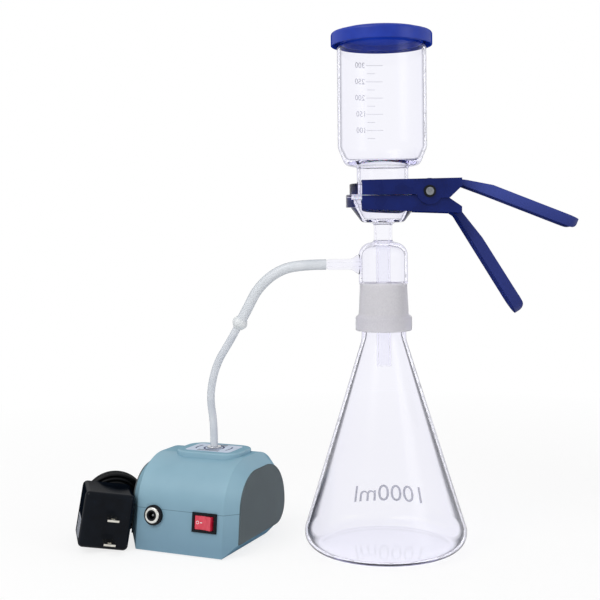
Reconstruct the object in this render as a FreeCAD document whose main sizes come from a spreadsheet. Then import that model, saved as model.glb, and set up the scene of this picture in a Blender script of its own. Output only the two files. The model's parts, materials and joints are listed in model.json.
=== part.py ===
"""Vacuum filtration unit: glass flask, filter base, funnel, spring clamp, hose, pump and wall adapter.

Millimetres, +Z up. The origin is on the floor, on the axis of the flask; +X points along the clamp's
handles and +Y to the back. The pump and the adapter each have a frame of their own: x to the right and
y to the back, seen from their own front, with z up.
"""

import FreeCAD, Part
import math
import os
import Sketcher
from FreeCAD import Placement, Rotation, Vector

doc = FreeCAD.newDocument("vacuum_filtration_unit")

# ------------------------------------------------------------------------------------------------
# Driving dimensions
# ------------------------------------------------------------------------------------------------

SIZES = {
    # flask
    "glass_wall": 2.2,
    "flask_foot_radius": 72.0,
    "flask_heel_radius": 14.0,
    "flask_neck_radius": 18.5,
    "flask_neck_height": 171.5,
    "flask_neck_bend": 14.0,
    # ground joint between flask and filter base
    "joint_height": 181.6,
    "joint_radius": 19.0,
    "joint_length": 35.0,
    "joint_taper": 20.0,
    "joint_gap": 0.03,
    # filter base
    "cap_rim_drop": 2.4,
    "cap_rim_radius": 23.4,
    "cap_rim_height": 11.4,
    "cap_wall": 2.4,
    "adapter_body_radius": 20.25,
    "adapter_body_height": 70.8,
    "stem_radius": 7.6,
    "stem_length": 15.4,
    "drip_radius": 6.0,
    "drip_bore_radius": 4.5,
    "drip_below_joint": 31.6,
    "bowl_bottom_radius": 17.5,
    "bowl_top_radius": 26.6,
    "bowl_depth": 12.6,
    "lower_flange_radius": 30.5,
    "lower_flange_thickness": 10.6,
    "arm_below_shoulder": 15.8,
    "arm_radius": 4.5,
    "arm_root_radius": 9.3,
    "arm_reach": 47.0,
    "nozzle_length": 17.0,
    # frit
    "frit_radius": 24.0,
    "frit_thickness": 4.0,
    "frit_gap": 0.05,
    "frit_ledge": 1.8,
    # funnel
    "funnel_bore_radius": 19.0,
    "funnel_neck_radius": 21.3,
    "funnel_neck_length": 13.4,
    "upper_flange_radius": 27.5,
    "upper_flange_thickness": 9.1,
    "cup_radius": 37.0,
    "cup_bottom_radius": 31.0,
    "cup_shoulder": 16.5,
    "cup_height": 106.0,
    # lid
    "lid_radius": 42.0,
    "lid_skirt": 5.0,
    "lid_plate": 5.6,
    "lid_crown": 2.0,
    "lid_wall": 1.8,
    "lid_gap": 0.2,
    "lid_plug_depth": 4.0,
    # clamp
    "sheet": 1.6,
    "clamp_pivot_x": 35.0,
    "clamp_pivot_rise": 1.6,
    "jaw_reach": 54.0,
    "jaw_gap": 0.3,
    "jaw_height": 12.2,
    "heel_reach": 26.0,
    "notch_reach": 16.0,
    "lever_gap": 0.2,
    "lobe_radius": 10.5,
    "pin_radius": 2.0,
    "pin_gap": 0.05,
    "rivet_radius": 3.2,
    "washer_radius": 4.9,
    "washer_thickness": 0.8,
    "handle_width": 26.0,
    "handle_flange": 9.0,
    "spring_wire_radius": 0.75,
    "spring_length": 20.0,
    # hose
    "hose_upper_radius": 4.35,
    "hose_upper_bore": 3.0,
    "hose_lower_radius": 3.25,
    "hose_lower_bore": 2.0,
    "hose_gap": 0.05,
    "connector_radius": 7.0,
    "connector_length": 9.0,
    "connector_nozzle": 9.0,
    # pump case
    "pump_x": -170.3,
    "pump_y": -19.05,
    "pump_turn": -23.65,
    "foot_height": 0.8,
    "foot_radius": 5.0,
    "case_width": 101.4,
    "case_length": 108.0,
    "case_height": 73.2,
    "case_lean": 8.5,
    "case_bevel": 9.5,
    "case_wall": 2.5,
    "case_front_bend": 40.0,
    "case_rear_bend": 44.0,
    "case_heel_bend": 27.0,
    "seam_height": 33.8,
    "panel_thickness": 1.2,
    "pad_width": 60.0,
    "pad_depth": 42.0,
    "pad_height": 3.4,
    "pad_bend": 14.0,
    "label_width": 42.5,
    "label_depth": 29.0,
    "barb_x": 5.5,
    "barb_y": 53.75,
    "barb_length": 12.0,
    # pump works
    "motor_axis_height": 24.0,
    "motor_radius": 12.0,
    "motor_length": 28.0,
    "motor_front": 65.05,
    "shaft_radius": 1.15,
    "crank_throw": 1.8,
    "crank_y": 52.0,
    "bearing_radius": 5.0,
    "bearing_bore_radius": 2.5,
    "bearing_width": 4.0,
    "running_gap": 0.03,
    "head_height": 40.0,
    # adapter
    "adapter_x": -232.3,
    "adapter_y": -12.0,
    "adapter_turn": 14.0,
    "adapter_lean": 9.5,
    "adapter_width": 41.0,
    "adapter_depth": 46.0,
    "adapter_height": 46.0,
    "adapter_wall": 2.0,
    "adapter_corner": 4.0,
    "blade_spacing": 19.5,
    "blade_width": 9.5,
    "blade_length": 16.0,
    # lead
    "lead_radius": 1.75,
    "coil_mid_radius": 22.0,
    "coil_layers": 3.0,
    "plug_radius": 5.0,
    "plug_length": 24.0,
}

sheet = doc.addObject("Spreadsheet::Sheet", "Sizes")
for row, (alias, number) in enumerate(SIZES.items(), start=1):
    sheet.set(f"A{row}", alias)
    sheet.set(f"B{row}", str(number))
    sheet.setAlias(f"B{row}", alias)
doc.recompute()


class Size:
    """A number together with the sheet expression that gives it."""

    def __init__(self, value, text):
        self.value = value
        self.text = text

    def joined(self, other, sign, swapped=False):
        other = as_size(other)
        left, right = (other, self) if swapped else (self, other)
        value = {
            "+": lambda: left.value + right.value,
            "-": lambda: left.value - right.value,
            "*": lambda: left.value * right.value,
            "/": lambda: left.value / right.value,
        }[sign]()
        return Size(value, f"({left.text} {sign} {right.text})")

    def __add__(self, other):
        return self.joined(other, "+")

    def __radd__(self, other):
        return self.joined(other, "+", swapped=True)

    def __sub__(self, other):
        return self.joined(other, "-")

    def __rsub__(self, other):
        return self.joined(other, "-", swapped=True)

    def __mul__(self, other):
        return self.joined(other, "*")

    def __rmul__(self, other):
        return self.joined(other, "*", swapped=True)

    def __truediv__(self, other):
        return self.joined(other, "/")

    def __neg__(self):
        return Size(-self.value, f"(-{self.text})")


def as_size(number):
    return number if isinstance(number, Size) else Size(float(number), repr(float(number)))


def size(alias):
    """One driving dimension, as a value bound to its cell."""
    return Size(sheet.get(alias), f"Sizes.{alias}")


def root(number):
    return Size(math.sqrt(number.value), f"sqrt({number.text})")


def mm(alias):
    """One driving dimension, as a plain number."""
    return float(sheet.get(alias))


def bind(thing, prop, number):
    """Ties one property to the sheet."""
    number = as_size(number)
    thing.setExpression(prop, number.text)


# ------------------------------------------------------------------------------------------------
# Ways of making a piece
# ------------------------------------------------------------------------------------------------

NODES = []


def keep(thing, label, placement=None):
    """Names a finished sub-part, places it and lists it for writing."""
    thing.Label = label
    if placement is not None:
        thing.Placement = placement
    NODES.append(thing)
    return thing


def plane_of(body, role):
    return next(f for f in body.Origin.OriginFeatures if f.Role == role)


def corner_arc(before, corner, after, radius):
    """Where a round of this radius touches the two lines that meet at the corner, and its centre."""
    into = (corner - before).normalize()
    out = (after - corner).normalize()
    turn = math.acos(max(-1.0, min(1.0, into.dot(out))))
    reach = radius * math.tan(turn / 2)
    side = 1.0 if into.x * out.y - into.y * out.x > 0 else -1.0
    start = corner - into * reach
    centre = start + Vector(-into.y, into.x, 0) * (radius * side)
    return start, corner + out * reach, centre, side


def tie_point(sketch, geometry, position, u, v):
    """Holds one point of a sketch at (u, v) from the sketch's origin."""
    for kind, number, axis in (("DistanceX", u, -2), ("DistanceY", v, -1)):
        if number.value == 0:
            sketch.addConstraint(Sketcher.Constraint("PointOnObject", geometry, position, axis))
            continue
        index = sketch.addConstraint(
            Sketcher.Constraint(kind, -1, 1, geometry, position, number.value)
        )
        sketch.setExpression(f"Constraints[{index}]", number.text)


def outline(body, name, role, corners, offset=None):
    """A closed sketch through the corners (u, v) or (u, v, radius of its round), bound to the sheet."""
    sketch = body.newObject("Sketcher::SketchObject", name)
    sketch.AttachmentSupport = [(plane_of(body, role), "")]
    sketch.MapMode = "FlatFace"
    if offset is not None:
        sketch.AttachmentOffset = offset
    sizes = [tuple(as_size(number) for number in corner) for corner in corners]
    points = [Vector(corner[0].value, corner[1].value, 0) for corner in sizes]
    count = len(sizes)
    rounds = {}
    for i, corner in enumerate(sizes):
        if len(corner) == 3:
            rounds[i] = corner_arc(points[i - 1], points[i], points[(i + 1) % count], corner[2].value)
    lines = []
    for i in range(count):
        after = (i + 1) % count
        start = rounds[i][1] if i in rounds else points[i]
        end = rounds[after][0] if after in rounds else points[after]
        lines.append(sketch.addGeometry(Part.LineSegment(start, end), False))
    for i, corner in enumerate(sizes):
        before = lines[i - 1]
        after = lines[i]
        if i not in rounds:
            sketch.addConstraint(Sketcher.Constraint("Coincident", before, 2, after, 1))
            tie_point(sketch, after, 1, corner[0], corner[1])
            continue
        start, end, centre, side = rounds[i]
        first, last = (start, end) if side > 0 else (end, start)
        circle = Part.Circle(centre, Vector(0, 0, 1), corner[2].value)
        angles = [math.atan2(p.y - centre.y, p.x - centre.x) for p in (first, last)]
        arc = sketch.addGeometry(Part.ArcOfCircle(circle, *angles), False)
        tip = sketch.addGeometry(Part.Point(points[i]), True)
        into, out = (1, 2) if side > 0 else (2, 1)
        sketch.addConstraint(Sketcher.Constraint("Tangent", before, 2, arc, into))
        sketch.addConstraint(Sketcher.Constraint("Tangent", arc, out, after, 1))
        sketch.addConstraint(Sketcher.Constraint("PointOnObject", tip, 1, before))
        sketch.addConstraint(Sketcher.Constraint("PointOnObject", tip, 1, after))
        tie_point(sketch, tip, 1, corner[0], corner[1])
        index = sketch.addConstraint(Sketcher.Constraint("Radius", arc, corner[2].value))
        sketch.setExpression(f"Constraints[{index}]", corner[2].text)
    return sketch


def new_body(name):
    return doc.addObject("PartDesign::Body", name)


def revolve(body, sketch, kind="PartDesign::Revolution"):
    """A full turn of a sketch about its own upright axis."""
    feature = body.newObject(kind, f"{sketch.Name}_turn")
    feature.Profile = sketch
    feature.ReferenceAxis = (sketch, ["V_Axis"])
    feature.Angle = 360.0
    doc.recompute()
    return feature


def turned(name, corners, placement=None):
    """A turned or blown piece from its half section, as (radius, height) corners."""
    body = new_body(name)
    revolve(body, outline(body, f"{name}_section", "XZ_Plane", corners))
    return keep(body, name, placement)


def pad(body, name, role, corners, length, start=0.0):
    """An outline on one of the body's planes, made this thick from a start height above it."""
    sketch = outline(body, name, role, corners)
    bind(sketch, "AttachmentOffset.Base.z", start)
    feature = body.newObject("PartDesign::Pad", f"{name}_pad")
    feature.Profile = sketch
    bind(feature, "Length", length)
    doc.recompute()
    return feature


def plate(name, role, corners, length, start=0.0, placement=None):
    """A flat piece of one outline and one thickness."""
    body = new_body(name)
    pad(body, f"{name}_outline", role, corners, length, start)
    return keep(body, name, placement)


def rectangle(left, bottom, right, top, bend=None):
    """The corners of a rectangle, with rounds if bend is given."""
    more = () if bend is None else (bend,)
    return [(left, bottom) + more, (right, bottom) + more, (right, top) + more, (left, top) + more]


def box(name, low, high):
    """An upright block between two corners, its sizes bound to the sheet."""
    block = doc.addObject("Part::Box", name)
    for prop, axis, a, b in zip(("Length", "Width", "Height"), "xyz", low, high):
        bind(block, prop, as_size(b) - a)
        bind(block, f"Placement.Base.{axis}", a)
    return block


DIRECTIONS = {
    "x": Rotation(Vector(0, 1, 0), 90),
    "y": Rotation(Vector(1, 0, 0), -90),
    "z": Rotation(),
}


def rod(name, radius, base, length, along="z"):
    """A round bar from its base point along one axis, its sizes bound to the sheet."""
    bar = doc.addObject("Part::Cylinder", name)
    bar.Placement = Placement(Vector(), DIRECTIONS[along])
    bind(bar, "Radius", radius)
    bind(bar, "Height", length)
    for axis, number in zip("xyz", base):
        bind(bar, f"Placement.Base.{axis}", number)
    return bar


def fused(name, *pieces):
    if len(pieces) == 1:
        return pieces[0]
    whole = doc.addObject("Part::MultiFuse", name)
    whole.Shapes = list(pieces)
    return whole


def cut(name, base, *tools):
    whole = doc.addObject("Part::Cut", name)
    whole.Base = base
    whole.Tool = fused(f"{name}_tools", *tools)
    return whole


def shared(name, *pieces):
    whole = doc.addObject("Part::MultiCommon", name)
    whole.Shapes = list(pieces)
    return whole


def group(name, *pieces):
    """Several separate solids in one node."""
    whole = doc.addObject("Part::Compound", name)
    whole.Links = list(pieces)
    return whole


def shape_piece(name, shape, placement=None):
    """A piece whose shape is worked out in code."""
    piece = doc.addObject("Part::Feature", name)
    piece.Shape = shape
    return keep(piece, name, placement)


def route_wire(points):
    """Straight runs joined by tangent arcs, each as large as its two runs allow."""
    edges = []
    radii = []
    at = points[0]
    for before, corner, after in zip(points, points[1:], points[2:]):
        into = (corner - before).normalize()
        out = (after - corner).normalize()
        reach = 0.45 * min((corner - before).Length, (after - corner).Length)
        turn = into.getAngle(out)
        radii.append(reach / math.tan(turn / 2))
        start = corner - into * reach
        end = corner + out * reach
        inward = (out - into).normalize()
        middle = corner + inward * (radii[-1] / math.cos(turn / 2) - radii[-1])
        edges.append(Part.LineSegment(at, start).toShape())
        edges.append(Part.Arc(start, middle, end).toShape())
        at = end
    edges.append(Part.LineSegment(at, points[-1]).toShape())
    return Part.Wire(edges), radii


def ring_face(centre, normal, outer, inner=0.0):
    """A round section, with a hole if inner is given."""
    rim = Part.Wire(Part.Circle(centre, normal, outer).toShape())
    if not inner:
        return Part.Face(rim)
    hole = Part.Wire(Part.Circle(centre, normal, inner).toShape())
    return Part.Face([rim, hole])


def tube(name, points, outer, inner=0.0, placement=None):
    """A hose, lead or wire along its route; prints its length, its radii and its volume's error."""
    path, radii = route_wire(points)
    solid = path.makePipe(ring_face(points[0], points[1] - points[0], outer))
    if inner:
        solid = solid.cut(path.makePipe(ring_face(points[0], points[1] - points[0], inner)))
    wanted = math.pi * (outer**2 - inner**2) * path.Length
    print(
        f"{name}: length {path.Length:.1f}, radii {[round(r, 1) for r in radii]}, "
        f"volume {solid.Volume / wanted - 1:+.4%}"
    )
    return shape_piece(name, solid, placement)


def prism(points, low_y, high_y):
    """A side-view outline of (x, z) points, made solid from low_y to high_y."""
    corners = [Vector(x, low_y, z) for x, z in points]
    face = Part.Face(Part.makePolygon(corners + corners[:1]))
    return face.extrude(Vector(0, high_y - low_y, 0))


# ------------------------------------------------------------------------------------------------
# Heights up the glass stack
# ------------------------------------------------------------------------------------------------

WALL = size("glass_wall")
CONE_SLOPE = (size("flask_foot_radius") - size("flask_neck_radius")) / size("flask_neck_height")
CONE_WALL = WALL * root(1 + CONE_SLOPE * CONE_SLOPE)
JOINT_Z = size("joint_height")
JOINT_TOP = JOINT_Z + size("joint_length")
JOINT_SMALL = size("joint_radius") - size("joint_length") / size("joint_taper")
CAP_RIM_Z = JOINT_Z - size("cap_rim_drop")
SHOULDER_Z = CAP_RIM_Z + size("adapter_body_height")
STEM_Z = SHOULDER_Z + 3.0
BOWL_Z = STEM_Z + size("stem_length")
LOWER_FLANGE_Z = BOWL_Z + size("bowl_depth")
MATING_Z = LOWER_FLANGE_Z + size("lower_flange_thickness")
UPPER_FLANGE_TOP = MATING_Z + size("upper_flange_thickness")
CUP_Z = UPPER_FLANGE_TOP + size("funnel_neck_length")
CUP_TOP = CUP_Z + size("cup_height")
ARM_Z = SHOULDER_Z - size("arm_below_shoulder")


def flask():
    """A cone of glass with a thick round heel, a short neck and the ground plug at its mouth."""
    floor = WALL * 1.2
    foot = size("flask_foot_radius")
    neck = size("flask_neck_radius")
    bend = size("flask_neck_bend")
    bore = JOINT_SMALL - WALL
    inner_foot = foot - CONE_WALL
    return turned(
        "flask",
        [
            (0, 0),
            (foot, 0, size("flask_heel_radius")),
            (neck, size("flask_neck_height"), bend),
            (neck, JOINT_Z - 3.0),
            (size("joint_radius"), JOINT_Z),
            (JOINT_SMALL, JOINT_TOP),
            (bore, JOINT_TOP),
            (bore, (inner_foot - bore) / CONE_SLOPE, bend),
            (inner_foot - CONE_SLOPE * floor, floor, size("flask_heel_radius") - WALL),
            (0, floor),
        ],
    )


def filter_base():
    """One blown piece: ground cap, body with side arm, stem with drip tube, and the flanged bowl."""
    gap = size("joint_gap")
    body_radius = size("adapter_body_radius")
    inner_radius = body_radius - WALL
    cap_top = JOINT_TOP + 2.0
    cap_small = size("joint_radius") + gap - (cap_top - JOINT_Z) / size("joint_taper")
    cap_mouth = size("joint_radius") + gap + size("cap_rim_drop") / size("joint_taper")
    rim = size("cap_rim_radius")
    rim_top = CAP_RIM_Z + size("cap_rim_height")
    stem = size("stem_radius")
    stem_bore = stem - 1.6
    drip = size("drip_radius")
    drip_bore = size("drip_bore_radius")
    drip_tip = JOINT_Z - size("drip_below_joint")
    flange = size("lower_flange_radius")
    seat = size("frit_radius") + size("frit_gap")
    seat_z = MATING_Z - size("frit_thickness")
    ledge = size("frit_radius") - size("frit_ledge")
    bottom = size("bowl_bottom_radius")
    body = new_body("filter_base")
    section = outline(
        body,
        "filter_base_section",
        "XZ_Plane",
        [
            (drip_bore, drip_tip),
            (drip, drip_tip),
            (drip, SHOULDER_Z + 0.4, 1.5),
            (inner_radius, SHOULDER_Z - 2.4, 9.0),
            (inner_radius, cap_top + 1.2),
            (cap_small, cap_top),
            (cap_mouth, CAP_RIM_Z),
            (rim, CAP_RIM_Z, 1.5),
            (rim, rim_top, 2.5),
            (cap_mouth + size("cap_wall") - 0.8, rim_top + 2.0, 2.0),
            (cap_small + size("cap_wall"), JOINT_TOP),
            (body_radius, cap_top + 1.0),
            (body_radius, SHOULDER_Z, 11.0),
            (stem, STEM_Z, 2.5),
            (stem, BOWL_Z - 0.6, 2.5),
            (bottom, BOWL_Z + 0.6, 4.0),
            (size("bowl_top_radius"), LOWER_FLANGE_Z),
            (flange, LOWER_FLANGE_Z, 0.8),
            (flange, MATING_Z, 0.6),
            (seat, MATING_Z),
            (seat, seat_z),
            (ledge, seat_z),
            (ledge, seat_z - 2.6, 3.0),
            (bottom - WALL, BOWL_Z + 3.0, 3.0),
            (stem_bore, BOWL_Z + 1.8, 2.5),
            (stem_bore, STEM_Z + 1.0),
            (drip_bore, STEM_Z - 1.5),
        ],
    )
    revolve(body, section)
    arm = size("arm_radius")
    nozzle = size("hose_upper_bore") - size("hose_gap")
    reach = size("arm_reach")
    tip = reach + size("nozzle_length")
    sideways = Placement(Vector(0, ARM_Z.value, 0), Rotation(Vector(0, 0, 1), 90))
    arm_section = outline(
        body,
        "arm_section",
        "XZ_Plane",
        [
            (0, inner_radius - 0.2),
            (size("arm_root_radius"), inner_radius - 0.2),
            (size("arm_root_radius"), body_radius - 1.2, 1.5),
            (arm, body_radius + 6.0, 5.0),
            (arm, reach - 1.2, 1.0),
            (nozzle, reach, 0.8),
            (nozzle, tip, 0.6),
            (0, tip),
        ],
        sideways,
    )
    bind(arm_section, "AttachmentOffset.Base.y", ARM_Z)
    revolve(body, arm_section)
    before = body.Shape.Volume
    bore_section = outline(
        body,
        "arm_bore_section",
        "XZ_Plane",
        rectangle(0, inner_radius - 4.0, nozzle - 1.0, tip + 1.0),
        sideways,
    )
    bind(bore_section, "AttachmentOffset.Base.y", ARM_Z)
    revolve(body, bore_section, "PartDesign::Groove")
    if body.Shape.Volume > before - 100:
        raise RuntimeError("the side arm's bore cuts nothing")
    return keep(body, "filter_base")


def frit_disc():
    """The sintered glass disc that carries the filter, level with the lower flange."""
    radius = size("frit_radius")
    seat_z = MATING_Z - size("frit_thickness")
    return turned("frit_disc", rectangle(0, seat_z, radius, MATING_Z))


def funnel():
    """The graduated cup with its short neck and ground flange."""
    bore = size("funnel_bore_radius")
    neck = size("funnel_neck_radius")
    flange = size("upper_flange_radius")
    cup = size("cup_radius")
    shoulder_z = CUP_Z + size("cup_shoulder")
    inner = cup - WALL
    return turned(
        "funnel",
        [
            (bore, MATING_Z),
            (flange, MATING_Z, 0.6),
            (flange, UPPER_FLANGE_TOP, 0.8),
            (neck, UPPER_FLANGE_TOP, 1.5),
            (neck, CUP_Z, 1.5),
            (size("cup_bottom_radius"), CUP_Z + 2.0, 7.0),
            (cup, shoulder_z, 12.0),
            (cup, CUP_TOP, 1.0),
            (inner, CUP_TOP, 1.0),
            (inner, shoulder_z, 11.0),
            (size("cup_bottom_radius") - 1.5, CUP_Z + 5.4, 6.0),
            (bore, CUP_Z + 3.8, 4.0),
        ],
    )


def lid():
    """The soft blue cap: a crowned plate, a skirt outside the cup and a plug ring inside it."""
    radius = size("lid_radius")
    under = CUP_TOP + size("lid_gap")
    top = under + size("lid_plate")
    plug = size("cup_radius") - WALL - 0.4
    plug_inner = plug - size("lid_wall")
    skirt = CUP_TOP - size("lid_skirt")
    return turned(
        "lid",
        [
            (0, under),
            (plug_inner, under),
            (plug_inner, under - size("lid_plug_depth"), 0.4),
            (plug, under - size("lid_plug_depth"), 0.6),
            (plug, under),
            (radius - size("lid_wall"), under, 0.8),
            (radius - size("lid_wall"), skirt),
            (radius, skirt, 0.6),
            (radius, top, 2.6),
            (radius - 5.5, top + 0.6, 2.0),
            (radius - 7.5, top + size("lid_crown") - 0.2, 2.0),
            (0, top + size("lid_crown")),
        ],
    )


# ------------------------------------------------------------------------------------------------
# Clamp: two bent levers on one rivet, with a torsion spring between them
# ------------------------------------------------------------------------------------------------


class Clamp:
    """Named places of the clamp, in the row's own frame."""

    pivot_x = mm("clamp_pivot_x")
    pivot_z = MATING_Z.value + mm("clamp_pivot_rise")
    left = pivot_x - mm("jaw_reach")
    right = pivot_x + mm("heel_reach")
    notch = pivot_x + mm("notch_reach")
    upper_inside = UPPER_FLANGE_TOP.value + mm("jaw_gap")
    lower_inside = LOWER_FLANGE_Z.value - mm("jaw_gap")
    lower_half = mm("lower_flange_radius") + 0.5 + mm("sheet")
    upper_half = lower_half + mm("lever_gap") + mm("sheet")
    pin_half = upper_half + 0.1 + mm("washer_thickness")


def offset_line(points, distance):
    """A side-view line moved sideways, to the right of its direction if distance is positive."""
    normals = []
    for a, b in zip(points, points[1:]):
        along = (b - a).normalize()
        normals.append(Vector(along.z, 0, -along.x))
    moved = []
    for i, point in enumerate(points):
        first = normals[max(i - 1, 0)]
        last = normals[min(i, len(normals) - 1)]
        side = (first + last).normalize()
        moved.append(point + side * (distance / side.dot(first)))
    return moved


def between(line, other, low_y, high_y):
    """The solid between two side-view lines, from low_y to high_y."""
    return prism([(p.x, p.z) for p in line + other[::-1]], low_y, high_y)


def handle(outer_line, side):
    """A bent strip with a turned-in lip along each edge and a round end.

    outer_line is its outer face in side view, from the jaw to the tip, as (x, z, share of the lip's full
    height); side is 1 if the lips lie to the right of that line and -1 if to the left.
    """
    thickness = mm("sheet")
    half = mm("handle_width") / 2
    line = [Vector(x, 0, z) for x, z, _ in outer_line]
    full = offset_line(line, side * mm("handle_flange"))
    lip_line = [low + (high - low) * share for low, high, (_, _, share) in zip(line, full, outer_line)]
    solid = between(line, offset_line(line, side * thickness), -half, half)
    for low in (-half, half - thickness):
        solid = solid.fuse(between(line, lip_line, low, low + thickness))
    deep = 60.0
    waste = Part.makeBox(half + 20, 2 * half + 2, deep, Vector(-half, -half - 1, -deep / 2))
    waste = waste.cut(Part.makeCylinder(half, deep, Vector(-half, 0, -deep / 2)))
    end = (line[-1] - line[-2]).normalize()
    waste.Placement = Placement(line[-1], Rotation(Vector(1, 0, 0), end))
    return solid.cut(waste)


def lever(name, web_line, cheek_points, handle_line, half, slot_half, lobe_radius):
    """One lever: a forked web that takes the flange, a cheek on each side and the handle.

    web_line is the web's inner face in side view as two (x, z) points; the upper lever's web lies above
    it and the lower lever's below.
    """
    thickness = mm("sheet")
    (left, left_z), (right, right_z) = web_line
    outward = 1.0 if left_z > MATING_Z.value else -1.0
    web_corners = [
        (left, left_z),
        (right, right_z),
        (right, right_z + outward * thickness),
        (left, left_z + outward * thickness),
    ]
    deep = 40.0
    slot = Part.makeCylinder(slot_half, 2 * deep, Vector(0, 0, left_z - deep))
    mouth = Part.makeBox(60.0, 2 * slot_half, 2 * deep, Vector(-60.0, -slot_half, left_z - deep))
    solid = prism(web_corners, -half, half).cut(slot.fuse(mouth))
    sideways = Vector(0, 1, 0)
    for low in (-half, half - thickness):
        centre = Vector(Clamp.pivot_x, low, Clamp.pivot_z)
        lobe = Part.makeCylinder(lobe_radius, thickness, centre, sideways)
        solid = solid.fuse([prism(cheek_points, low, low + thickness), lobe])
    solid = solid.fuse(handle(handle_line, outward))
    start = Vector(Clamp.pivot_x, -2 * half, Clamp.pivot_z)
    hole = Part.makeCylinder(mm("pin_radius") + mm("pin_gap"), 4 * half, start, sideways)
    return shape_piece(name, solid.cut(hole).removeSplitter())


def clamp_upper_lever():
    """The lever above the flanges; its cheeks lie outside those of the lower one."""
    c = Clamp
    t = mm("sheet")
    inside = c.upper_inside
    rise = 1.2
    top_left = inside + t
    top_right = inside + rise + t
    split = MATING_Z.value - 0.9
    cheek = [
        (c.left, split),
        (c.left, top_left),
        (c.right, top_right),
        (c.right, top_right - 6.5),
        (c.notch, c.pivot_z - 5.4),
        (c.pivot_x, c.pivot_z - 5.4),
        (c.pivot_x - 4.0, split),
    ]
    outer_line = [
        (c.right - 1.5, top_right, 0.3),
        (c.right + 6.5, top_right - 0.9, 0.6),
        (c.right + 28.5, top_right - 5.3, 1.0),
        (c.right + 100.8, top_right - 34.1, 1.0),
    ]
    return lever(
        "clamp_upper_lever",
        [(c.left, inside), (c.right, inside + rise)],
        cheek,
        outer_line,
        c.upper_half,
        mm("funnel_neck_radius") + 1.2,
        mm("lobe_radius"),
    )


def clamp_lower_lever():
    """The lever below the flanges; its cheeks lie inside those of the upper one."""
    c = Clamp
    t = mm("sheet")
    inside = c.lower_inside
    fall = 3.2
    bottom_left = inside - t
    bottom_right = inside - fall - t
    split = MATING_Z.value - 1.4
    cheek = [
        (c.left, split),
        (c.left, bottom_left),
        (c.right, bottom_right),
        (c.right, bottom_right + 5.0),
        (c.notch, c.pivot_z - 5.4),
        (c.notch - 8.0, split),
    ]
    outer_line = [
        (c.right - 12.0, bottom_right + 0.5, 0.3),
        (c.right - 5.5, bottom_right + 0.2, 0.3),
        (c.right - 1.5, bottom_right - 2.6, 0.6),
        (c.right + 12.0, bottom_right - 24.8, 0.95),
        (c.right + 47.6, bottom_right - 83.1, 1.0),
    ]
    return lever(
        "clamp_lower_lever",
        [(c.left, inside), (c.right, inside - fall)],
        cheek,
        outer_line,
        c.lower_half,
        mm("bowl_top_radius") + 0.6,
        mm("lobe_radius") - 3.0,
    )


def clamp_pin():
    """The rivet through all four cheeks, with a head at each end."""
    shank = mm("pin_radius")
    half = Clamp.pin_half
    head = 1.4
    sideways = Vector(0, 1, 0)

    def bar(radius, start, length):
        return Part.makeCylinder(
            radius, length, Vector(Clamp.pivot_x, start, Clamp.pivot_z), sideways
        )

    solid = bar(shank, -half, 2 * half)
    for start, dimple in ((-half - head, -half - head), (half, half + head - 0.7)):
        solid = solid.fuse(bar(mm("rivet_radius"), start, head))
        solid = solid.cut(bar(shank * 0.6, dimple, 0.7))
    return shape_piece("clamp_pin", solid.removeSplitter())


def clamp_washers():
    """One black washer under each rivet head."""
    thickness = mm("washer_thickness")
    sideways = Vector(0, 1, 0)
    rings = []
    for start in (-Clamp.pin_half, Clamp.pin_half - thickness):
        centre = Vector(Clamp.pivot_x, start, Clamp.pivot_z)
        disc = Part.makeCylinder(mm("washer_radius"), thickness, centre, sideways)
        hole = Part.makeCylinder(mm("pin_radius") + mm("pin_gap"), thickness, centre, sideways)
        rings.append(disc.cut(hole))
    return shape_piece("clamp_washers", Part.makeCompound(rings))


def clamp_spring():
    """The torsion spring round the rivet: its coil as one sleeve, and a leg against each web."""
    wire = mm("spring_wire_radius")
    inner = mm("pin_radius") + 0.3
    half = mm("spring_length") / 2
    sideways = Vector(0, 1, 0)
    centre = Vector(Clamp.pivot_x, -half, Clamp.pivot_z)
    coil = Part.makeCylinder(inner + 2 * wire, 2 * half, centre, sideways)
    middle = inner + wire
    leg_x = Clamp.right - Clamp.pivot_x - 9.0
    leg = wire * 0.9
    touch = wire + 0.05
    reach = Clamp.right - Clamp.left
    upper_z = Clamp.upper_inside + 1.2 * (reach - 9.0) / reach - touch - Clamp.pivot_z
    lower_z = Clamp.lower_inside - 3.2 * (reach - 9.0) / reach + touch - Clamp.pivot_z
    low_leg = (wire - half, middle, upper_z)
    high_leg = (half - wire, -middle, lower_z)
    for y, start_z, end_z in (low_leg, high_leg):
        start = Vector(Clamp.pivot_x, y, Clamp.pivot_z + start_z)
        along = Vector(leg_x, 0, end_z - start_z)
        coil = coil.fuse(Part.makeCylinder(leg, along.Length, start, along))
    bore = Part.makeCylinder(inner, 2 * half, centre, sideways)
    return shape_piece("clamp_spring", coil.cut(bore).removeSplitter())


# ------------------------------------------------------------------------------------------------
# Frames of the pump and the adapter
# ------------------------------------------------------------------------------------------------

PUMP = Placement(
    Vector(mm("pump_x"), mm("pump_y"), mm("foot_height")),
    Rotation(Vector(0, 0, 1), mm("pump_turn")),
)
ADAPTER = Placement(
    Vector(mm("adapter_x"), mm("adapter_y"), 0), Rotation(Vector(0, 0, 1), mm("adapter_turn"))
)
LEANING = ADAPTER * Placement(
    Vector(),
    Rotation(Vector(0, 1, 0), mm("adapter_lean")),
    Vector(mm("adapter_width") / 2 - mm("adapter_corner"), 0, mm("adapter_corner")),
)


def turned_at(frame, x, y, z, direction):
    """A frame's placement moved to a point in it, with its own z along a direction in it."""
    return frame * Placement(Vector(x, y, z), Rotation(Vector(0, 0, 1), Vector(*direction)))


# ------------------------------------------------------------------------------------------------
# Hose
# ------------------------------------------------------------------------------------------------

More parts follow.
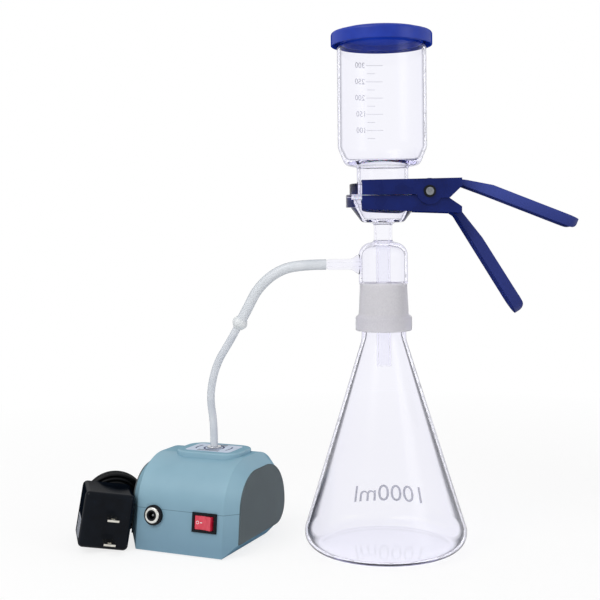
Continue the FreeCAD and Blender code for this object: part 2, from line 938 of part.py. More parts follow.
CONNECTOR_TOP = Vector(-118.0, 11.0, 189.0)
CONNECTOR_AXIS = Vector(-5.0, 2.0, -9.2).normalize()
CONNECTOR_BOTTOM = CONNECTOR_TOP + CONNECTOR_AXIS * mm("connector_length")
BARB_FOOT = PUMP * Vector(mm("barb_x"), mm("barb_y"), mm("case_height") + mm("pad_height") + 2.0)


def hose_upper():
    """From the shoulder of the glass nozzle over to the connector."""
    start = Vector(-mm("arm_reach") - 0.3, 0, ARM_Z.value)
    route = [
        start,
        start + Vector(-25.0, 0, 0),
        start + Vector(-43.0, 1.5, -6.5),
        Vector(-105.0, 5.0, 214.0),
        CONNECTOR_TOP - CONNECTOR_AXIS * 12.0,
        CONNECTOR_TOP,
    ]
    return tube("hose_upper", straightened(route), mm("hose_upper_radius"), mm("hose_upper_bore"))


def hose_lower():
    """From the connector down to the barb on top of the pump."""
    route = [
        CONNECTOR_BOTTOM,
        CONNECTOR_BOTTOM + CONNECTOR_AXIS * 14.0,
        Vector(-138.6, 19.0, 154.0),
        Vector(-144.4, 22.4, 136.5),
        Vector(-146.6, 25.6, 118.5),
        BARB_FOOT + Vector(0, 0, 20.0),
        BARB_FOOT,
    ]
    return tube("hose_lower", route, mm("hose_lower_radius"), mm("hose_lower_bore"))


def straightened(points):
    """Leaves out a point that lies in line with the two beside it."""
    kept = [points[0]]
    for point, after in zip(points[1:], points[2:]):
        if (point - kept[-1]).getAngle(after - point) > 0.001:
            kept.append(point)
    return kept + [points[-1]]


def hose_connector():
    """A moulded reducer: a bulged collar between two nozzles of different size, bored through."""
    length = size("connector_length")
    wide = size("hose_upper_bore") - size("hose_gap")
    narrow = size("hose_lower_bore") - size("hose_gap")
    nozzle = size("connector_nozzle")
    bore = narrow - 0.8
    middle = size("connector_radius")
    place = Placement(CONNECTOR_TOP, Rotation(Vector(0, 0, 1), CONNECTOR_AXIS))
    return turned(
        "hose_connector",
        [
            (bore, -nozzle),
            (wide, -nozzle, 0.5),
            (wide, 0),
            (size("hose_upper_radius") + 0.6, 0, 0.6),
            (middle, length / 2, 3.5),
            (size("hose_lower_radius") + 0.8, length, 0.6),
            (narrow, length),
            (narrow, length + nozzle, 0.4),
            (bore, length + nozzle),
        ],
        place,
    )


# ------------------------------------------------------------------------------------------------
# Pump case
# ------------------------------------------------------------------------------------------------

CASE_H = size("case_height")
CASE_WALL = size("case_wall")
LEAN = size("case_lean") / CASE_H
LEAN_WALL = root(1 + LEAN * LEAN)


def case_corners(inset):
    """The side view of the case, each face moved in by this much: leaning front, round back."""
    front = LEAN_WALL * inset
    top = CASE_H - inset
    rear = size("case_length") - inset
    return [
        (front + LEAN * inset, inset),
        (front + LEAN * top, top, size("case_front_bend") - inset),
        (rear, top, size("case_rear_bend") - inset),
        (rear, inset, size("case_heel_bend") - inset),
    ]


def case_block(name, inset, half_width, bevel):
    """The side view made as wide as the case, with its two outlines bevelled."""
    body = new_body(name)
    feature = pad(body, f"{name}_side", "YZ_Plane", case_corners(inset), half_width * 2, -half_width)
    names = []
    for i, edge in enumerate(feature.Shape.Edges, start=1):
        xs = [vertex.X for vertex in edge.Vertexes]
        if max(xs) - min(xs) < 0.01:
            names.append(f"Edge{i}")
    chamfer = body.newObject("PartDesign::Chamfer", f"{name}_bevel")
    chamfer.Base = (feature, names)
    bind(chamfer, "Size", bevel)
    doc.recompute()
    return body


def front_frame(x, z):
    """A frame on the leaning front face: its z points out of the face, x right and y up along it."""
    lean = math.degrees(math.atan(LEAN.value))
    return Placement(Vector(x, z * LEAN.value, z), Rotation(Vector(1, 0, 0), 90 - lean))


JACK = front_frame(-24.0, 28.7)
SWITCH = front_frame(23.4, 26.8)
POSTS = [(-33.0, 28.0), (33.0, 28.0), (-33.0, 84.0), (33.0, 84.0)]
FEET = [(-30.0, 12.0), (30.0, 12.0), (-30.0, 72.0), (30.0, 72.0)]
MOUNT_YS = (70.0, 86.0)


def case_shells():
    """The two halves of the case, split level at the seam, with posts, ribs and openings."""
    half = size("case_width") / 2 - size("panel_thickness")
    bevel = size("case_bevel")
    outer = case_block("case_outer", as_size(0), half, bevel)
    inner = case_block("case_inner", CASE_WALL, half - CASE_WALL, bevel - CASE_WALL * 0.586)
    walls = cut("case_walls", outer, inner)
    seam = size("seam_height")
    wide = size("case_width")
    long = size("case_length") + 10
    low_room = box("low_room", (-wide, -10, -5), (wide, long, seam))
    high_room = box("high_room", (-wide, -10, seam), (wide, long, CASE_H + 20))
    low_posts = [
        rod(f"low_post_{i}", 3.6, (x, y, 1), seam - 1) for i, (x, y) in enumerate(POSTS)
    ]
    high_posts = [
        rod(f"high_post_{i}", 3.6, (x, y, seam), CASE_H - seam) for i, (x, y) in enumerate(POSTS)
    ]
    low_holes = [
        rod(f"low_hole_{i}", 1.7, (x, y, -1), seam + 2) for i, (x, y) in enumerate(POSTS)
    ]
    head_holes = [
        rod(f"head_hole_{i}", 3.05, (x, y, -1), 4.0) for i, (x, y) in enumerate(POSTS)
    ]
    high_holes = [
        rod(f"high_hole_{i}", 1.35, (x, y, seam - 1), 11.0) for i, (x, y) in enumerate(POSTS)
    ]
    axis = size("motor_axis_height")
    mount = size("motor_radius") + 3.1
    ribs = []
    for i, y in enumerate(MOUNT_YS):
        rib = box(f"rib_block_{i}", (-18, y + 1, 1), (18, y + 4, axis - 2))
        notch = rod(f"rib_notch_{i}", mount, (0, y, axis), 5.0, "y")
        ribs.append(cut(f"rib_{i}", rib, notch))
    cradle = [box(f"crank_foot_{i}", (x, 40, 1), (x + 5, 64, 9.95)) for i, x in enumerate((-13, 8))]
    fronts = [
        front_tool("jack_hole", JACK, ("round", 6.5), 8.0),
        front_tool("switch_hole", SWITCH, ("square", 10.1, 6.9), 12.0),
    ]
    feet_pockets = [rod(f"foot_pocket_{i}", 5.05, (x, y, -1), 2.0) for i, (x, y) in enumerate(FEET)]
    raised = shared(
        "low_inside",
        outer,
        fused("low_inside_parts", *low_posts, *ribs, *cradle),
    )
    low = fused("bottom_solid", shared("bottom_walls", walls, low_room), raised)
    bottom = cut("bottom_shell", low, *low_holes, *head_holes, *fronts, *feet_pockets)
    keep(bottom, "bottom_shell", PUMP)
    pad_block = case_pad()
    high_inside = shared("high_inside", outer, fused("high_inside_parts", *high_posts))
    high = fused("top_solid", shared("top_walls", walls, high_room), high_inside, pad_block)
    barb_hole = rod("barb_hole", 3.1, (size("barb_x"), size("barb_y"), CASE_H - 10), 20.0)
    top = cut("top_shell", high, *high_holes, *fronts, barb_hole)
    keep(top, "top_shell", PUMP)
    for hidden in (outer, inner):
        hidden.Label = f"{hidden.Name}_tool"


def front_tool(name, frame, section, deep):
    """A straight hole into the front face, round or square."""
    if section[0] == "round":
        tool = doc.addObject("Part::Cylinder", name)
        tool.Radius = section[1]
        tool.Height = 2 * deep
        shift = Vector(0, 0, -deep)
    else:
        tool = doc.addObject("Part::Box", name)
        tool.Length = 2 * section[1]
        tool.Width = 2 * section[2]
        tool.Height = 2 * deep
        shift = Vector(-section[1], -section[2], -deep)
    tool.Placement = frame * Placement(shift, Rotation())
    return tool


def case_pad():
    """The raised pad round the hose barb, rooted in the curved roof."""
    x = size("barb_x")
    y = size("barb_y")
    half_x = size("pad_width") / 2
    half_y = size("pad_depth") / 2
    body = new_body("case_pad")
    corners = rectangle(x - half_x, y - half_y, x + half_x, y + half_y, size("pad_bend"))
    root_z = CASE_H - CASE_WALL
    feature = pad(body, "pad_outline", "XY_Plane", corners, size("pad_height") + CASE_WALL, root_z)
    top_edges = []
    for i, edge in enumerate(feature.Shape.Edges, start=1):
        if all(v.Z > mm("case_height") + mm("pad_height") - 0.01 for v in edge.Vertexes):
            top_edges.append(f"Edge{i}")
    soft = body.newObject("PartDesign::Fillet", "pad_edge")
    soft.Base = (feature, top_edges)
    soft.Radius = 1.5
    doc.recompute()
    return body


def side_panels():
    """A dark plate on each side of the case, in the outline that the bevel leaves."""
    half = size("case_width") / 2
    thick = size("panel_thickness")
    corners = case_corners(size("case_bevel"))
    plate("side_panel_left", "YZ_Plane", corners, thick, -half, PUMP)
    plate("side_panel_right", "YZ_Plane", corners, thick, half - thick, PUMP)


def top_label():
    """The printed label on the pad, with a hole for the barb."""
    x = size("barb_x")
    y = size("barb_y")
    top = CASE_H + size("pad_height")
    half_x = size("label_width") / 2
    half_y = size("label_depth") / 2
    sheet = new_body("label_sheet_on_pad")
    corners = rectangle(x - half_x, y - half_y, x + half_x, y + half_y, 4.0)
    pad(sheet, "label_outline", "XY_Plane", corners, 0.2, top)
    hole = rod("label_hole", 6.2, (x, y, top - 1), 3.0)
    keep(cut("top_label", sheet, hole), "top_label", PUMP)


def hose_barb():
    """The threaded barb through the pad: collar outside, spigot for the inner tube below."""
    nozzle = size("hose_lower_bore") - size("hose_gap")
    top = CASE_H + size("pad_height")
    under = CASE_H - CASE_WALL
    length = size("barb_length")
    turned(
        "hose_barb",
        [
            (0.9, under - 9),
            (nozzle, under - 9, 0.4),
            (nozzle, under - 4),
            (3.0, under - 4),
            (3.0, top),
            (6.0, top),
            (6.0, top + 1.6, 0.5),
            (3.4, top + 2.0),
            (nozzle, top + 2.0),
            (nozzle, top + 2.0 + length, 0.4),
            (0.9, top + 2.0 + length),
        ],
        PUMP * Placement(Vector(mm("barb_x"), mm("barb_y"), 0), Rotation()),
    )
    turned(
        "barb_nut",
        rectangle(3.05, under - 3.2, 6.0, under),
        PUMP * Placement(Vector(mm("barb_x"), mm("barb_y"), 0), Rotation()),
    )


def feet():
    """Four rubber feet, half sunk into the floor of the case."""
    lift = size("foot_height")
    discs = [
        rod(f"foot_{i}", size("foot_radius"), (x, y, -lift), lift + 1.0)
        for i, (x, y) in enumerate(FEET)
    ]
    keep(group("feet", *discs), "feet", PUMP)


def case_screws():
    """Four long screws up through the bottom posts into the top ones."""
    seam = size("seam_height")
    screws = []
    for i, (x, y) in enumerate(POSTS):
        head = rod(f"case_head_{i}", 2.9, (x, y, 0.8), 2.2)
        shank = rod(f"case_shank_{i}", 1.3, (x, y, 3.0), seam + 5.0)
        screws.append(fused(f"case_screw_{i}", head, shank))
    keep(group("case_screws", *screws), "case_screws", PUMP)


# ------------------------------------------------------------------------------------------------
# Jack and switch on the front of the pump
# ------------------------------------------------------------------------------------------------


def jack():
    """The power socket: a bright threaded barrel, a black nut outside and a centre pin."""
    wall = CASE_WALL
    barrel = 6.3
    bore = 3.2
    floor = -9.0
    place = PUMP * JACK
    turned(
        "jack_body",
        [
            (0, -14),
            (barrel, -14),
            (barrel, -2 - wall),
            (barrel + 1.5, -2 - wall),
            (barrel + 1.5, -wall),
            (barrel, -wall),
            (barrel, 4.4, 0.5),
            (bore + 0.7, 4.4),
            (bore, 3.4),
            (bore, floor),
            (0, floor),
        ],
        place,
    )
    inner = barrel + 0.05
    outer = 8.2
    turned(
        "jack_nut", [(inner, 0), (outer, 0), (outer, 2.8, 0.6), (inner, 2.8)], place
    )
    turned("jack_pin", [(0, floor), (1.2, floor), (1.2, 2.2, 0.6), (0, 2.2)], place)


SWITCH_PIVOT_DEPTH = 1.5
SWITCH_TILT = 10.0


def switch():
    """The rocker switch: a black snap-in frame, a red rocker on two pins and two tabs behind."""
    place = PUMP * SWITCH
    bezel = box("bezel", (-11.0, -7.8, 0), (11.0, 7.8, 1.6))
    block = box("switch_block", (-9.9, -6.7, -13), (9.9, 6.7, 0))
    pocket = box("switch_pocket", (-8.9, -5.7, -6.5), (8.9, 5.7, 3))
    pins = rod("switch_pin_holes", 0.85, (0, -6.4, -SWITCH_PIVOT_DEPTH), 12.8, "y")
    frame = cut("switch_housing", fused("switch_solid", bezel, block), pocket, pins)
    keep(frame, "switch_housing", place)
    body = new_body("switch_rocker")
    low = -3.1
    pad(
        body,
        "rocker_side",
        "XZ_Plane",
        [
            (-7.9, low + 1.6, 0.4),
            (-2.0, low),
            (2.0, low),
            (7.9, low + 1.6, 0.4),
            (7.9, 4.4, 0.5),
            (0, 2.7, 8.0),
            (-7.9, 4.4, 0.5),
        ],
        10.8,
        -5.4,
    )
    pad(body, "rocker_pins", "XZ_Plane", rectangle(-0.5, -0.5, 0.5, 0.5), 12.4, -6.2)
    tilt = Placement(
        Vector(0, 0, -SWITCH_PIVOT_DEPTH), Rotation(Vector(0, 1, 0), -SWITCH_TILT)
    )
    keep(body, "switch_rocker", place * tilt)
    tabs = [
        box(f"switch_tab_{i}", (x - 2.2, -0.4, -21), (x + 2.2, 0.4, -13))
        for i, x in enumerate((-3.5, 3.5))
    ]
    keep(group("switch_terminals", *tabs), "switch_terminals", place)


# ------------------------------------------------------------------------------------------------
# Works of the pump
# ------------------------------------------------------------------------------------------------

AXIS_Z = mm("motor_axis_height")
CRANK_Z = AXIS_Z + mm("crank_throw")
CRANK_Y = mm("crank_y")
HEAD_Z = size("head_height")
HEAD_X = 14.0
HEAD_LOW_Y = 39.0
HEAD_HIGH_Y = 65.0
HEAD_SCREWS = [(-10.5, 42.0), (10.5, 42.0), (-10.5, 62.0), (10.5, 62.0)]
CHAMBER = 9.8


def motor():
    """A small can motor lying along the case: can, magnet ring, end cap and wound rotor on its shaft."""
    radius = size("motor_radius")
    length = size("motor_length")
    shaft = size("shaft_radius")
    gap = size("running_gap")
    place = turned_at(PUMP, 0, mm("motor_front"), AXIS_Z, (0, 1, 0))
    inner = radius - 1
    turned(
        "motor_can",
        [(3.1, 0), (radius, 0, 0.8), (radius, length), (inner, length), (inner, 1), (3.1, 1)],
        place,
    )
    turned("motor_magnets", rectangle(inner - 2.4, 4, inner - 0.05, length - 7), place)
    cap = inner - 0.05
    turned(
        "motor_end_cap",
        [
            (shaft + gap, length - 2),
            (cap, length - 2),
            (cap, length + 1, 0.5),
            (4, length + 1),
            (4, length + 3, 0.5),
            (shaft + gap, length + 3),
        ],
        place,
    )
    armature = inner - 3.0
    turned(
        "motor_rotor",
        [
            (0, -9.45),
            (shaft, -9.45),
            (shaft, 6),
            (armature, 6),
            (armature, length - 9),
            (3.5, length - 9),
            (3.5, length - 3),
            (shaft, length - 3),
            (shaft, length + 2.5),
            (0, length + 2.5),
        ],
        place,
    )
    rings = []
    for i, y in enumerate(MOUNT_YS):
        ring = rod(f"mount_ring_{i}", radius + 3.0, (0, y, AXIS_Z), 5.0, "y")
        hole = rod(f"mount_hole_{i}", radius + 0.05, (0, y, AXIS_Z), 5.0, "y")
        rings.append(cut(f"mount_{i}", ring, hole))
    keep(group("motor_mounts", *rings), "motor_mounts", PUMP)


def crank():
    """The crank on the shaft's end, its bearing and the rod that pushes the diaphragm."""
    throw = size("crank_throw")
    pin = size("bearing_bore_radius") - size("running_gap")
    width = size("bearing_width")
    ring = size("bearing_radius")
    y = size("crank_y")
    axis = size("motor_axis_height")
    low = y - width / 2
    web = rod("crank_web", 6.5, (0, y + width / 2 + 1.2, axis), 4.6, "y")
    crank_pin = rod("crank_pin", pin, (0, low, axis + throw), width + 1.3, "y")
    shaft_hole = rod(
        "crank_bore", size("shaft_radius") + 0.02, (0, y + width / 2 + 1.6, axis), 6.0, "y"
    )
    keep(cut("crank_eccentric", fused("crank_solid", web, crank_pin), shaft_hole), "crank_eccentric", PUMP)
    race = rod("race", ring, (0, low, axis + throw), width, "y")
    bore = rod("race_bore", size("bearing_bore_radius"), (0, low, axis + throw), width, "y")
    keep(cut("crank_bearing", race, bore), "crank_bearing", PUMP)
    eye = rod("rod_eye", ring + 1.8, (0, low, axis + throw), width, "y")
    eye_bore = rod("rod_bore", ring + 0.02, (0, low, axis + throw), width, "y")
    stem = box("rod_stem", (-1.8, low, axis + throw + ring), (1.8, low + width, HEAD_Z - 5.0))
    foot = box("rod_foot", (-3.5, low, HEAD_Z - 5.4), (3.5, low + width, HEAD_Z - 4.3))
    keep(cut("connecting_rod", fused("rod_solid", eye, stem, foot), eye_bore), "connecting_rod", PUMP)


def head():
    """The crankcase and, on top of it, diaphragm, valve plate and cover, held by four screws."""
    axis = size("motor_axis_height")
    y = size("crank_y")
    floor = axis - 14.0
    low_y = HEAD_LOW_Y
    high_y = HEAD_HIGH_Y
    block = box("crank_block", (-HEAD_X, low_y, floor), (HEAD_X, high_y, HEAD_Z))
    chamber = rod("crank_chamber", CHAMBER, (0, low_y + 3, axis), high_y - low_y - 6, "y")
    chimney = rod("crank_chimney", CHAMBER, (0, y, axis), HEAD_Z - axis + 1)
    nose = rod("motor_nose", 3.15, (0, high_y - 4, axis), 6.0, "y")
    taps = screw_holes("tap", HEAD_Z - 9.0, 10.0)
    keep(cut("crankcase", block, chamber, chimney, nose, *taps), "crankcase", PUMP)
    plate_top = HEAD_Z + 2.0
    skin = box("diaphragm_skin", (-HEAD_X, low_y, HEAD_Z), (HEAD_X, high_y, plate_top))
    boss = rod("diaphragm_boss", 3.5, (0, y, HEAD_Z - 4.0), 5.0)
    holes = screw_holes("skin_hole", HEAD_Z - 1.0, 4.0)
    keep(cut("diaphragm", fused("diaphragm_solid", skin, boss), *holes), "diaphragm", PUMP)
    valve_top = plate_top + 4.0
    valve = box("valve_block", (-HEAD_X, low_y, plate_top), (HEAD_X, high_y, valve_top))
    ports = [rod(f"valve_port_{i}", 1.5, (x, y, plate_top - 1), 6.0) for i, x in enumerate((-5, 5))]
    holes = screw_holes("valve_hole", plate_top - 1.0, 6.0)
    keep(cut("valve_plate", valve, *ports, *holes), "valve_plate", PUMP)
    cover_top = valve_top + 8.0
    cover = box("cover_block", (-HEAD_X, low_y, valve_top), (HEAD_X, high_y, cover_top))
    rooms = [
        box(f"cover_room_{i}", (x - 3.4, 44, valve_top - 1), (x + 3.4, 60, cover_top - 2))
        for i, x in enumerate((-4.6, 4.6))
    ]
    spigot = size("hose_lower_bore") - size("hose_gap")
    inlet = (size("barb_x"), size("barb_y"))
    outlet = (-5.0, 49.0)
    spigots = [
        rod(f"spigot_{i}", spigot, (*at, cover_top - 1), 8.0) for i, at in enumerate((inlet, outlet))
    ]
    bores = [
        rod(f"spigot_bore_{i}", 0.9, (*at, cover_top - 3), 12.0)
        for i, at in enumerate((inlet, outlet))
    ]
    holes = screw_holes("cover_hole", valve_top - 1.0, 10.0)
    body = fused("cover_solid", cover, *spigots)
    keep(cut("head_cover", body, *rooms, *bores, *holes), "head_cover", PUMP)
    screws = []
    for i, at in enumerate(HEAD_SCREWS):
        top = rod(f"head_screw_top_{i}", 1.9, (*at, cover_top), 1.5)
        shank = rod(f"head_screw_shank_{i}", 0.95, (*at, HEAD_Z - 8.5), 22.6)
        screws.append(fused(f"head_screw_{i}", top, shank))
    keep(group("head_screws", *screws), "head_screws", PUMP)
    tube_low = cover_top + 0.05
    tube_high = CASE_H - CASE_WALL - 4.05
    pipe = rod("pipe", spigot + 1.25, (*inlet, tube_low), tube_high - tube_low)
    hollow = rod("pipe_hole", spigot + 0.05, (*inlet, tube_low), tube_high - tube_low)
    keep(cut("inner_tube", pipe, hollow), "inner_tube", PUMP)


def screw_holes(name, start, length):
    """One hole for each of the head's screws."""
    return [rod(f"{name}_{i}", 1.0, (*at, start), length) for i, at in enumerate(HEAD_SCREWS)]


def wires():
    """The three wires of the supply: jack to switch, and jack and switch to the motor's back."""
    radius = 0.7
    end_gap = 0.5
    jack_back = JACK * Vector(0, 0, -14 - end_gap)
    left_tab = SWITCH * Vector(-3.5, 0, -21 - end_gap)
    right_tab = SWITCH * Vector(3.5, 0, -21 - end_gap)
    tube(
        "wire_jack_switch",
        [
            jack_back + Vector(2.2, 0, 0),
            Vector(-21.0, 25.0, 26.0),
            Vector(-14.0, 31.5, 26.0),
            Vector(-4.0, 34.5, 26.5),
            Vector(6.0, 34.5, 26.5),
            Vector(15.5, 31.5, 26.0),
            left_tab,
        ],
        radius,
        placement=PUMP,
    )
    back = mm("motor_front") + mm("motor_length") + 1.3
    bend = 6.0
    corner = bend / math.cos(math.pi / 8)
    loop_x = 5.0 + bend
    loop_y = back + 1.5
    for name, side, start in (
        ("wire_jack_motor", -1, jack_back + Vector(-2.2, 0, 0)),
        ("wire_switch_motor", 1, right_tab),
    ):
        route = [
            start,
            Vector(side * 26.0, 36.0, 25.0),
            Vector(side * 23.0, 50.0, 24.0),
            Vector(side * 21.0, 63.0, 24.0),
            Vector(side * 18.8, 74.5, 24.0),
            Vector(side * 17.6, 84.0, 24.0),
            Vector(side * 17.2, 91.5, 24.0),
        ]
        for i in range(4):
            angle = math.radians(22.5 + 45.0 * i)
            x = loop_x + corner * math.cos(angle)
            route.append(Vector(side * x, loop_y + corner * math.sin(angle), 24.0))
        route.append(Vector(side * 5.0, back, 24.0))
        tube(name, route, radius, placement=PUMP)


# ------------------------------------------------------------------------------------------------
# Wall adapter and its lead
# ------------------------------------------------------------------------------------------------

RELIEF_X = 8.0
RELIEF_Z = 26.0
RELIEF_END = 24.5
ADAPTER_SPLIT = 20.0
COIL_X = 13.5
COIL_LEAN = 4.0


def rounded_box(name, low, high, radius):
    """A block with all its edges rounded."""
    block = box(f"{name}_block", low, high)
    doc.recompute()
    soft = doc.addObject("Part::Fillet", name)
    soft.Base = block
    soft.Edges = [(i, radius, radius) for i in range(1, len(block.Shape.Edges) + 1)]
    return soft


def adapter():
    """A two-part case with flat blades in front, a board inside and a lead out of the back."""
    half = size("adapter_width") / 2
    deep = size("adapter_depth")
    tall = size("adapter_height")
    wall = size("adapter_wall")
    corner = mm("adapter_corner")
    outer = rounded_box("adapter_outer", (-half, 0, 0), (half, deep, tall), corner)
    inner = rounded_box(
        "adapter_inner",
        (wall - half, wall, wall),
        (half - wall, deep - wall, tall - wall),
        corner - wall.value,
    )
    walls = cut("adapter_walls", outer, inner)
    front_room = box("front_room", (-50, -5, -5), (50, ADAPTER_SPLIT, 80))
    rear_room = box("rear_room", (-50, ADAPTER_SPLIT, -5), (50, 80, 80))
    middle = tall / 2 - 5.0
    spacing = size("blade_spacing") / 2
    blade_half = size("blade_width") / 2
    blade_x = 3.4
    blades = []
    slots = []
    for i, z in enumerate((middle - spacing, middle + spacing)):
        low = (blade_x - blade_half, -size("blade_length"), z - 0.8)
        high = (blade_x + blade_half, 6, z + 0.8)
        hole = rod(f"blade_hole_{i}", 1.8, (blade_x, 3.8 - size("blade_length"), z - 1), 2.0)
        blades.append(cut(f"blade_{i}", box(f"blade_bar_{i}", low, high), hole))
        slots.append(box(f"blade_slot_{i}", low, high))
    keep(group("adapter_blades", *blades), "adapter_blades", LEANING)
    front = cut("adapter_front_shell", shared("front_walls", walls, front_room), *slots)
    keep(front, "adapter_front_shell", LEANING)
    outlet = rod("lead_outlet", 4.1, (RELIEF_X, deep - 5, RELIEF_Z), 10.0, "y")
    rear = cut("adapter_rear_shell", shared("rear_walls", walls, rear_room), outlet)
    keep(rear, "adapter_rear_shell", LEANING)
    top = wall + 1.6
    inside = {
        "adapter_label": box("label_sheet", (-half - 0.2, 5, 6), (-half, 30, 22)),
        "adapter_board": box("board_sheet", (wall - half + 2.4, 8, wall), (half - wall - 2.4, 40, top)),
        "adapter_transformer": box("transformer_block", (-12, 14, top), (4, 30, top + 15)),
        "adapter_capacitor": rod("capacitor_can", 4.5, (10, 20, top), 16.0),
    }
    for label, solid in inside.items():
        keep(group(label, solid), label, LEANING)
    turned(
        "strain_relief",
        [
            (0, -5),
            (5.4, -5),
            (5.4, -2.05),
            (4.0, -2.05),
            (4.0, 0),
            (4.6, 0.05),
            (4.6, 3.0, 0.6),
            (2.6, RELIEF_END),
            (0, RELIEF_END),
        ],
        turned_at(LEANING, RELIEF_X, mm("adapter_depth"), RELIEF_Z, (0, 1, 0)),
    )


def coil_section():
    """Half the width of the coil's square section."""
    return mm("coil_layers") * mm("lead_radius")


def lead():
    """The low-voltage lead: out of the strain relief, wound up behind the adapter, to its plug."""
    radius = mm("lead_radius")
    middle = mm("coil_mid_radius")
    half = size("coil_layers") * size("lead_radius")
    back = mm("adapter_depth")
    lean = math.radians(COIL_LEAN)
    outer = middle + coil_section()
    centre = Vector(
        COIL_X,
        back + 0.3 + outer * math.sin(lean) + coil_section() * math.cos(lean),
        0.3 + outer * math.cos(lean) + coil_section() * math.sin(lean),
    )
    place = ADAPTER * Placement(centre, Rotation(Vector(1, 0, 0), -90 + COIL_LEAN))
    middle_size = size("coil_mid_radius")
    turned(
        "lead_coil",
        rectangle(middle_size - half, -half, middle_size + half, half, size("lead_radius")),
        place,
    )
    band = Part.makeBox(12.6, 5.0, 12.6, Vector(middle - 6.3, -2.5, -6.3))
    window = Part.makeBox(11.2, 5.0, 11.2, Vector(middle - 5.6, -2.5, -5.6))
    tie = Placement(Vector(), Rotation(Vector(0, 0, 1), -30))
    shape_piece("coil_tie", band.cut(window), place * tie)
    low = radius + 0.3
    start = ADAPTER.inverse() * LEANING * Vector(RELIEF_X, back + RELIEF_END, RELIEF_Z)
    loop = 20.0
    corner = loop / math.cos(math.pi / 8)
    start_route = [start]
    for i, z in enumerate((start.z, 18.0, 7.0, low + 0.3)):
        angle = math.pi * (0.875 - 0.25 * i)
        x = start.x + loop + corner * math.cos(angle)
        start_route.append(Vector(x, start.y + 8.0 + corner * math.sin(angle), z))
    side = COIL_X + middle
    start_route += [
        Vector(side + 11.5, back + 28.0, low),
        Vector(side + 9.5, back + 17.0, 4.8),
        Vector(side + 5.5, back + 11.0, 13.0),
        Vector(side + 3.9, back + 9.5, 23.0),
    ]
    tube("lead_start", start_route, radius, placement=ADAPTER)
    end = Vector(-10.0, back + 39.5, mm("plug_radius"))
    side = COIL_X - middle
    end_route = [
        Vector(side - 5.5, back + 4.6, 25.0),
        Vector(side - 5.7, back + 5.3, 12.3),
        Vector(side - 6.0, back + 9.8, 5.2),
        Vector(side - 6.4, back + 19.5, 1.3),
        Vector(-15.2, back + 30.0, mm("plug_radius")),
        end,
    ]
    tube("lead_end", end_route, radius, placement=ADAPTER)
    along = end - end_route[-2]
    spot = ADAPTER * Placement(end, Rotation(Vector(0, 0, 1), along))
    plug = size("plug_radius")
    length = size("plug_length")
    turned(
        "plug_handle",
        [
            (0, 0),
            (2.4, 0),
            (3.2, 9.0),
            (plug, 11.0, 1.0),
            (plug, 11 + length, 1.0),
            (0, 11 + length),
        ],
        spot,
    )
    turned(
        "plug_barrel",
        [
            (1.25, 11 + length),
            (2.75, 11 + length),
            (2.75, 21 + length, 0.3),
            (1.25, 21 + length),
        ],
        spot,
    )


# ------------------------------------------------------------------------------------------------
# Build, check and write
# ------------------------------------------------------------------------------------------------


def build():
    flask()
    filter_base()
    frit_disc()
    funnel()
    lid()
    clamp_upper_lever()
    clamp_lower_lever()
    clamp_pin()
    clamp_washers()
    clamp_spring()
    hose_upper()
    hose_connector()
    hose_lower()
    case_shells()
    side_panels()
    top_label()
    hose_barb()
    feet()
    case_screws()
    jack()
    switch()
    motor()
    crank()
    head()
    wires()
    adapter()
    lead()


def write():
    doc.recompute()
    for thing in doc.Objects:
        if "Invalid" in thing.State or "Error" in thing.State:
            raise RuntimeError(f"{thing.Name} failed: {thing.State}")
    os.makedirs("parts", exist_ok=True)
    for node in NODES:
        if node.Shape.isNull() or not node.Shape.isValid():
            raise RuntimeError(f"{node.Label} has no valid shape")
        if not node.Shape.Solids:
            raise RuntimeError(f"{node.Label} has no solid")
        node.Shape.exportStep(f"parts/{node.Label}.step")
    print(f"{len(NODES)} nodes written")


build()
write()
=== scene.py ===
# %% [markdown]
# # Vacuum filtration unit
#
# A glass flask carries a glass filter base, a frit and a measuring cup with a blue lid, held
# together by a spring clamp. A silicone hose runs from the base's side arm to a small pump, and a
# mains adapter with its lead stands beside the pump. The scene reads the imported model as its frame,
# gives each sub-part the finish of the real material, and adds what is too fine for the
# construction: printed marks, the spring's wire, screw threads, ribs and the wound-up lead.

import json
import math

import bmesh
import bpy
from mathutils import Matrix, Vector
from mathutils.bvhtree import BVHTree

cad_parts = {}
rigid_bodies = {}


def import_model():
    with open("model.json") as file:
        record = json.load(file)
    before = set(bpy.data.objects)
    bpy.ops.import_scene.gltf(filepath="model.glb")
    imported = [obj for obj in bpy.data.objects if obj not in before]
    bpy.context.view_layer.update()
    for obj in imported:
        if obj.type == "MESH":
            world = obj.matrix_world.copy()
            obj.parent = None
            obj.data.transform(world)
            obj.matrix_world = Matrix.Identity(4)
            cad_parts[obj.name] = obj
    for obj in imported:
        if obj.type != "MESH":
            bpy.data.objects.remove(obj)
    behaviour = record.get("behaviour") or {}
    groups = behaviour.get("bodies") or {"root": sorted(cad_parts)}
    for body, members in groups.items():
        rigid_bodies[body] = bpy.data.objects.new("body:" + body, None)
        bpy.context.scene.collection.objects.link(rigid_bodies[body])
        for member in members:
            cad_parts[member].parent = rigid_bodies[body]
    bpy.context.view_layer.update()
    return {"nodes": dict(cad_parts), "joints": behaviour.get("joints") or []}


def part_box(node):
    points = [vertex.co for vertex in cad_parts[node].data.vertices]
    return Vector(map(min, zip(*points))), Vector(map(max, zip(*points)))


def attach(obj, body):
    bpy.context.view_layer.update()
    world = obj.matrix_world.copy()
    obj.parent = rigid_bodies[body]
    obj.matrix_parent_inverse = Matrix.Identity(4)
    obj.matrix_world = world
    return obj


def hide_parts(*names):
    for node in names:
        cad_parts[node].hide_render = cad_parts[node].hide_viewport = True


for leftover in list(bpy.data.objects):
    bpy.data.objects.remove(leftover)
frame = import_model()
scene = bpy.context.scene

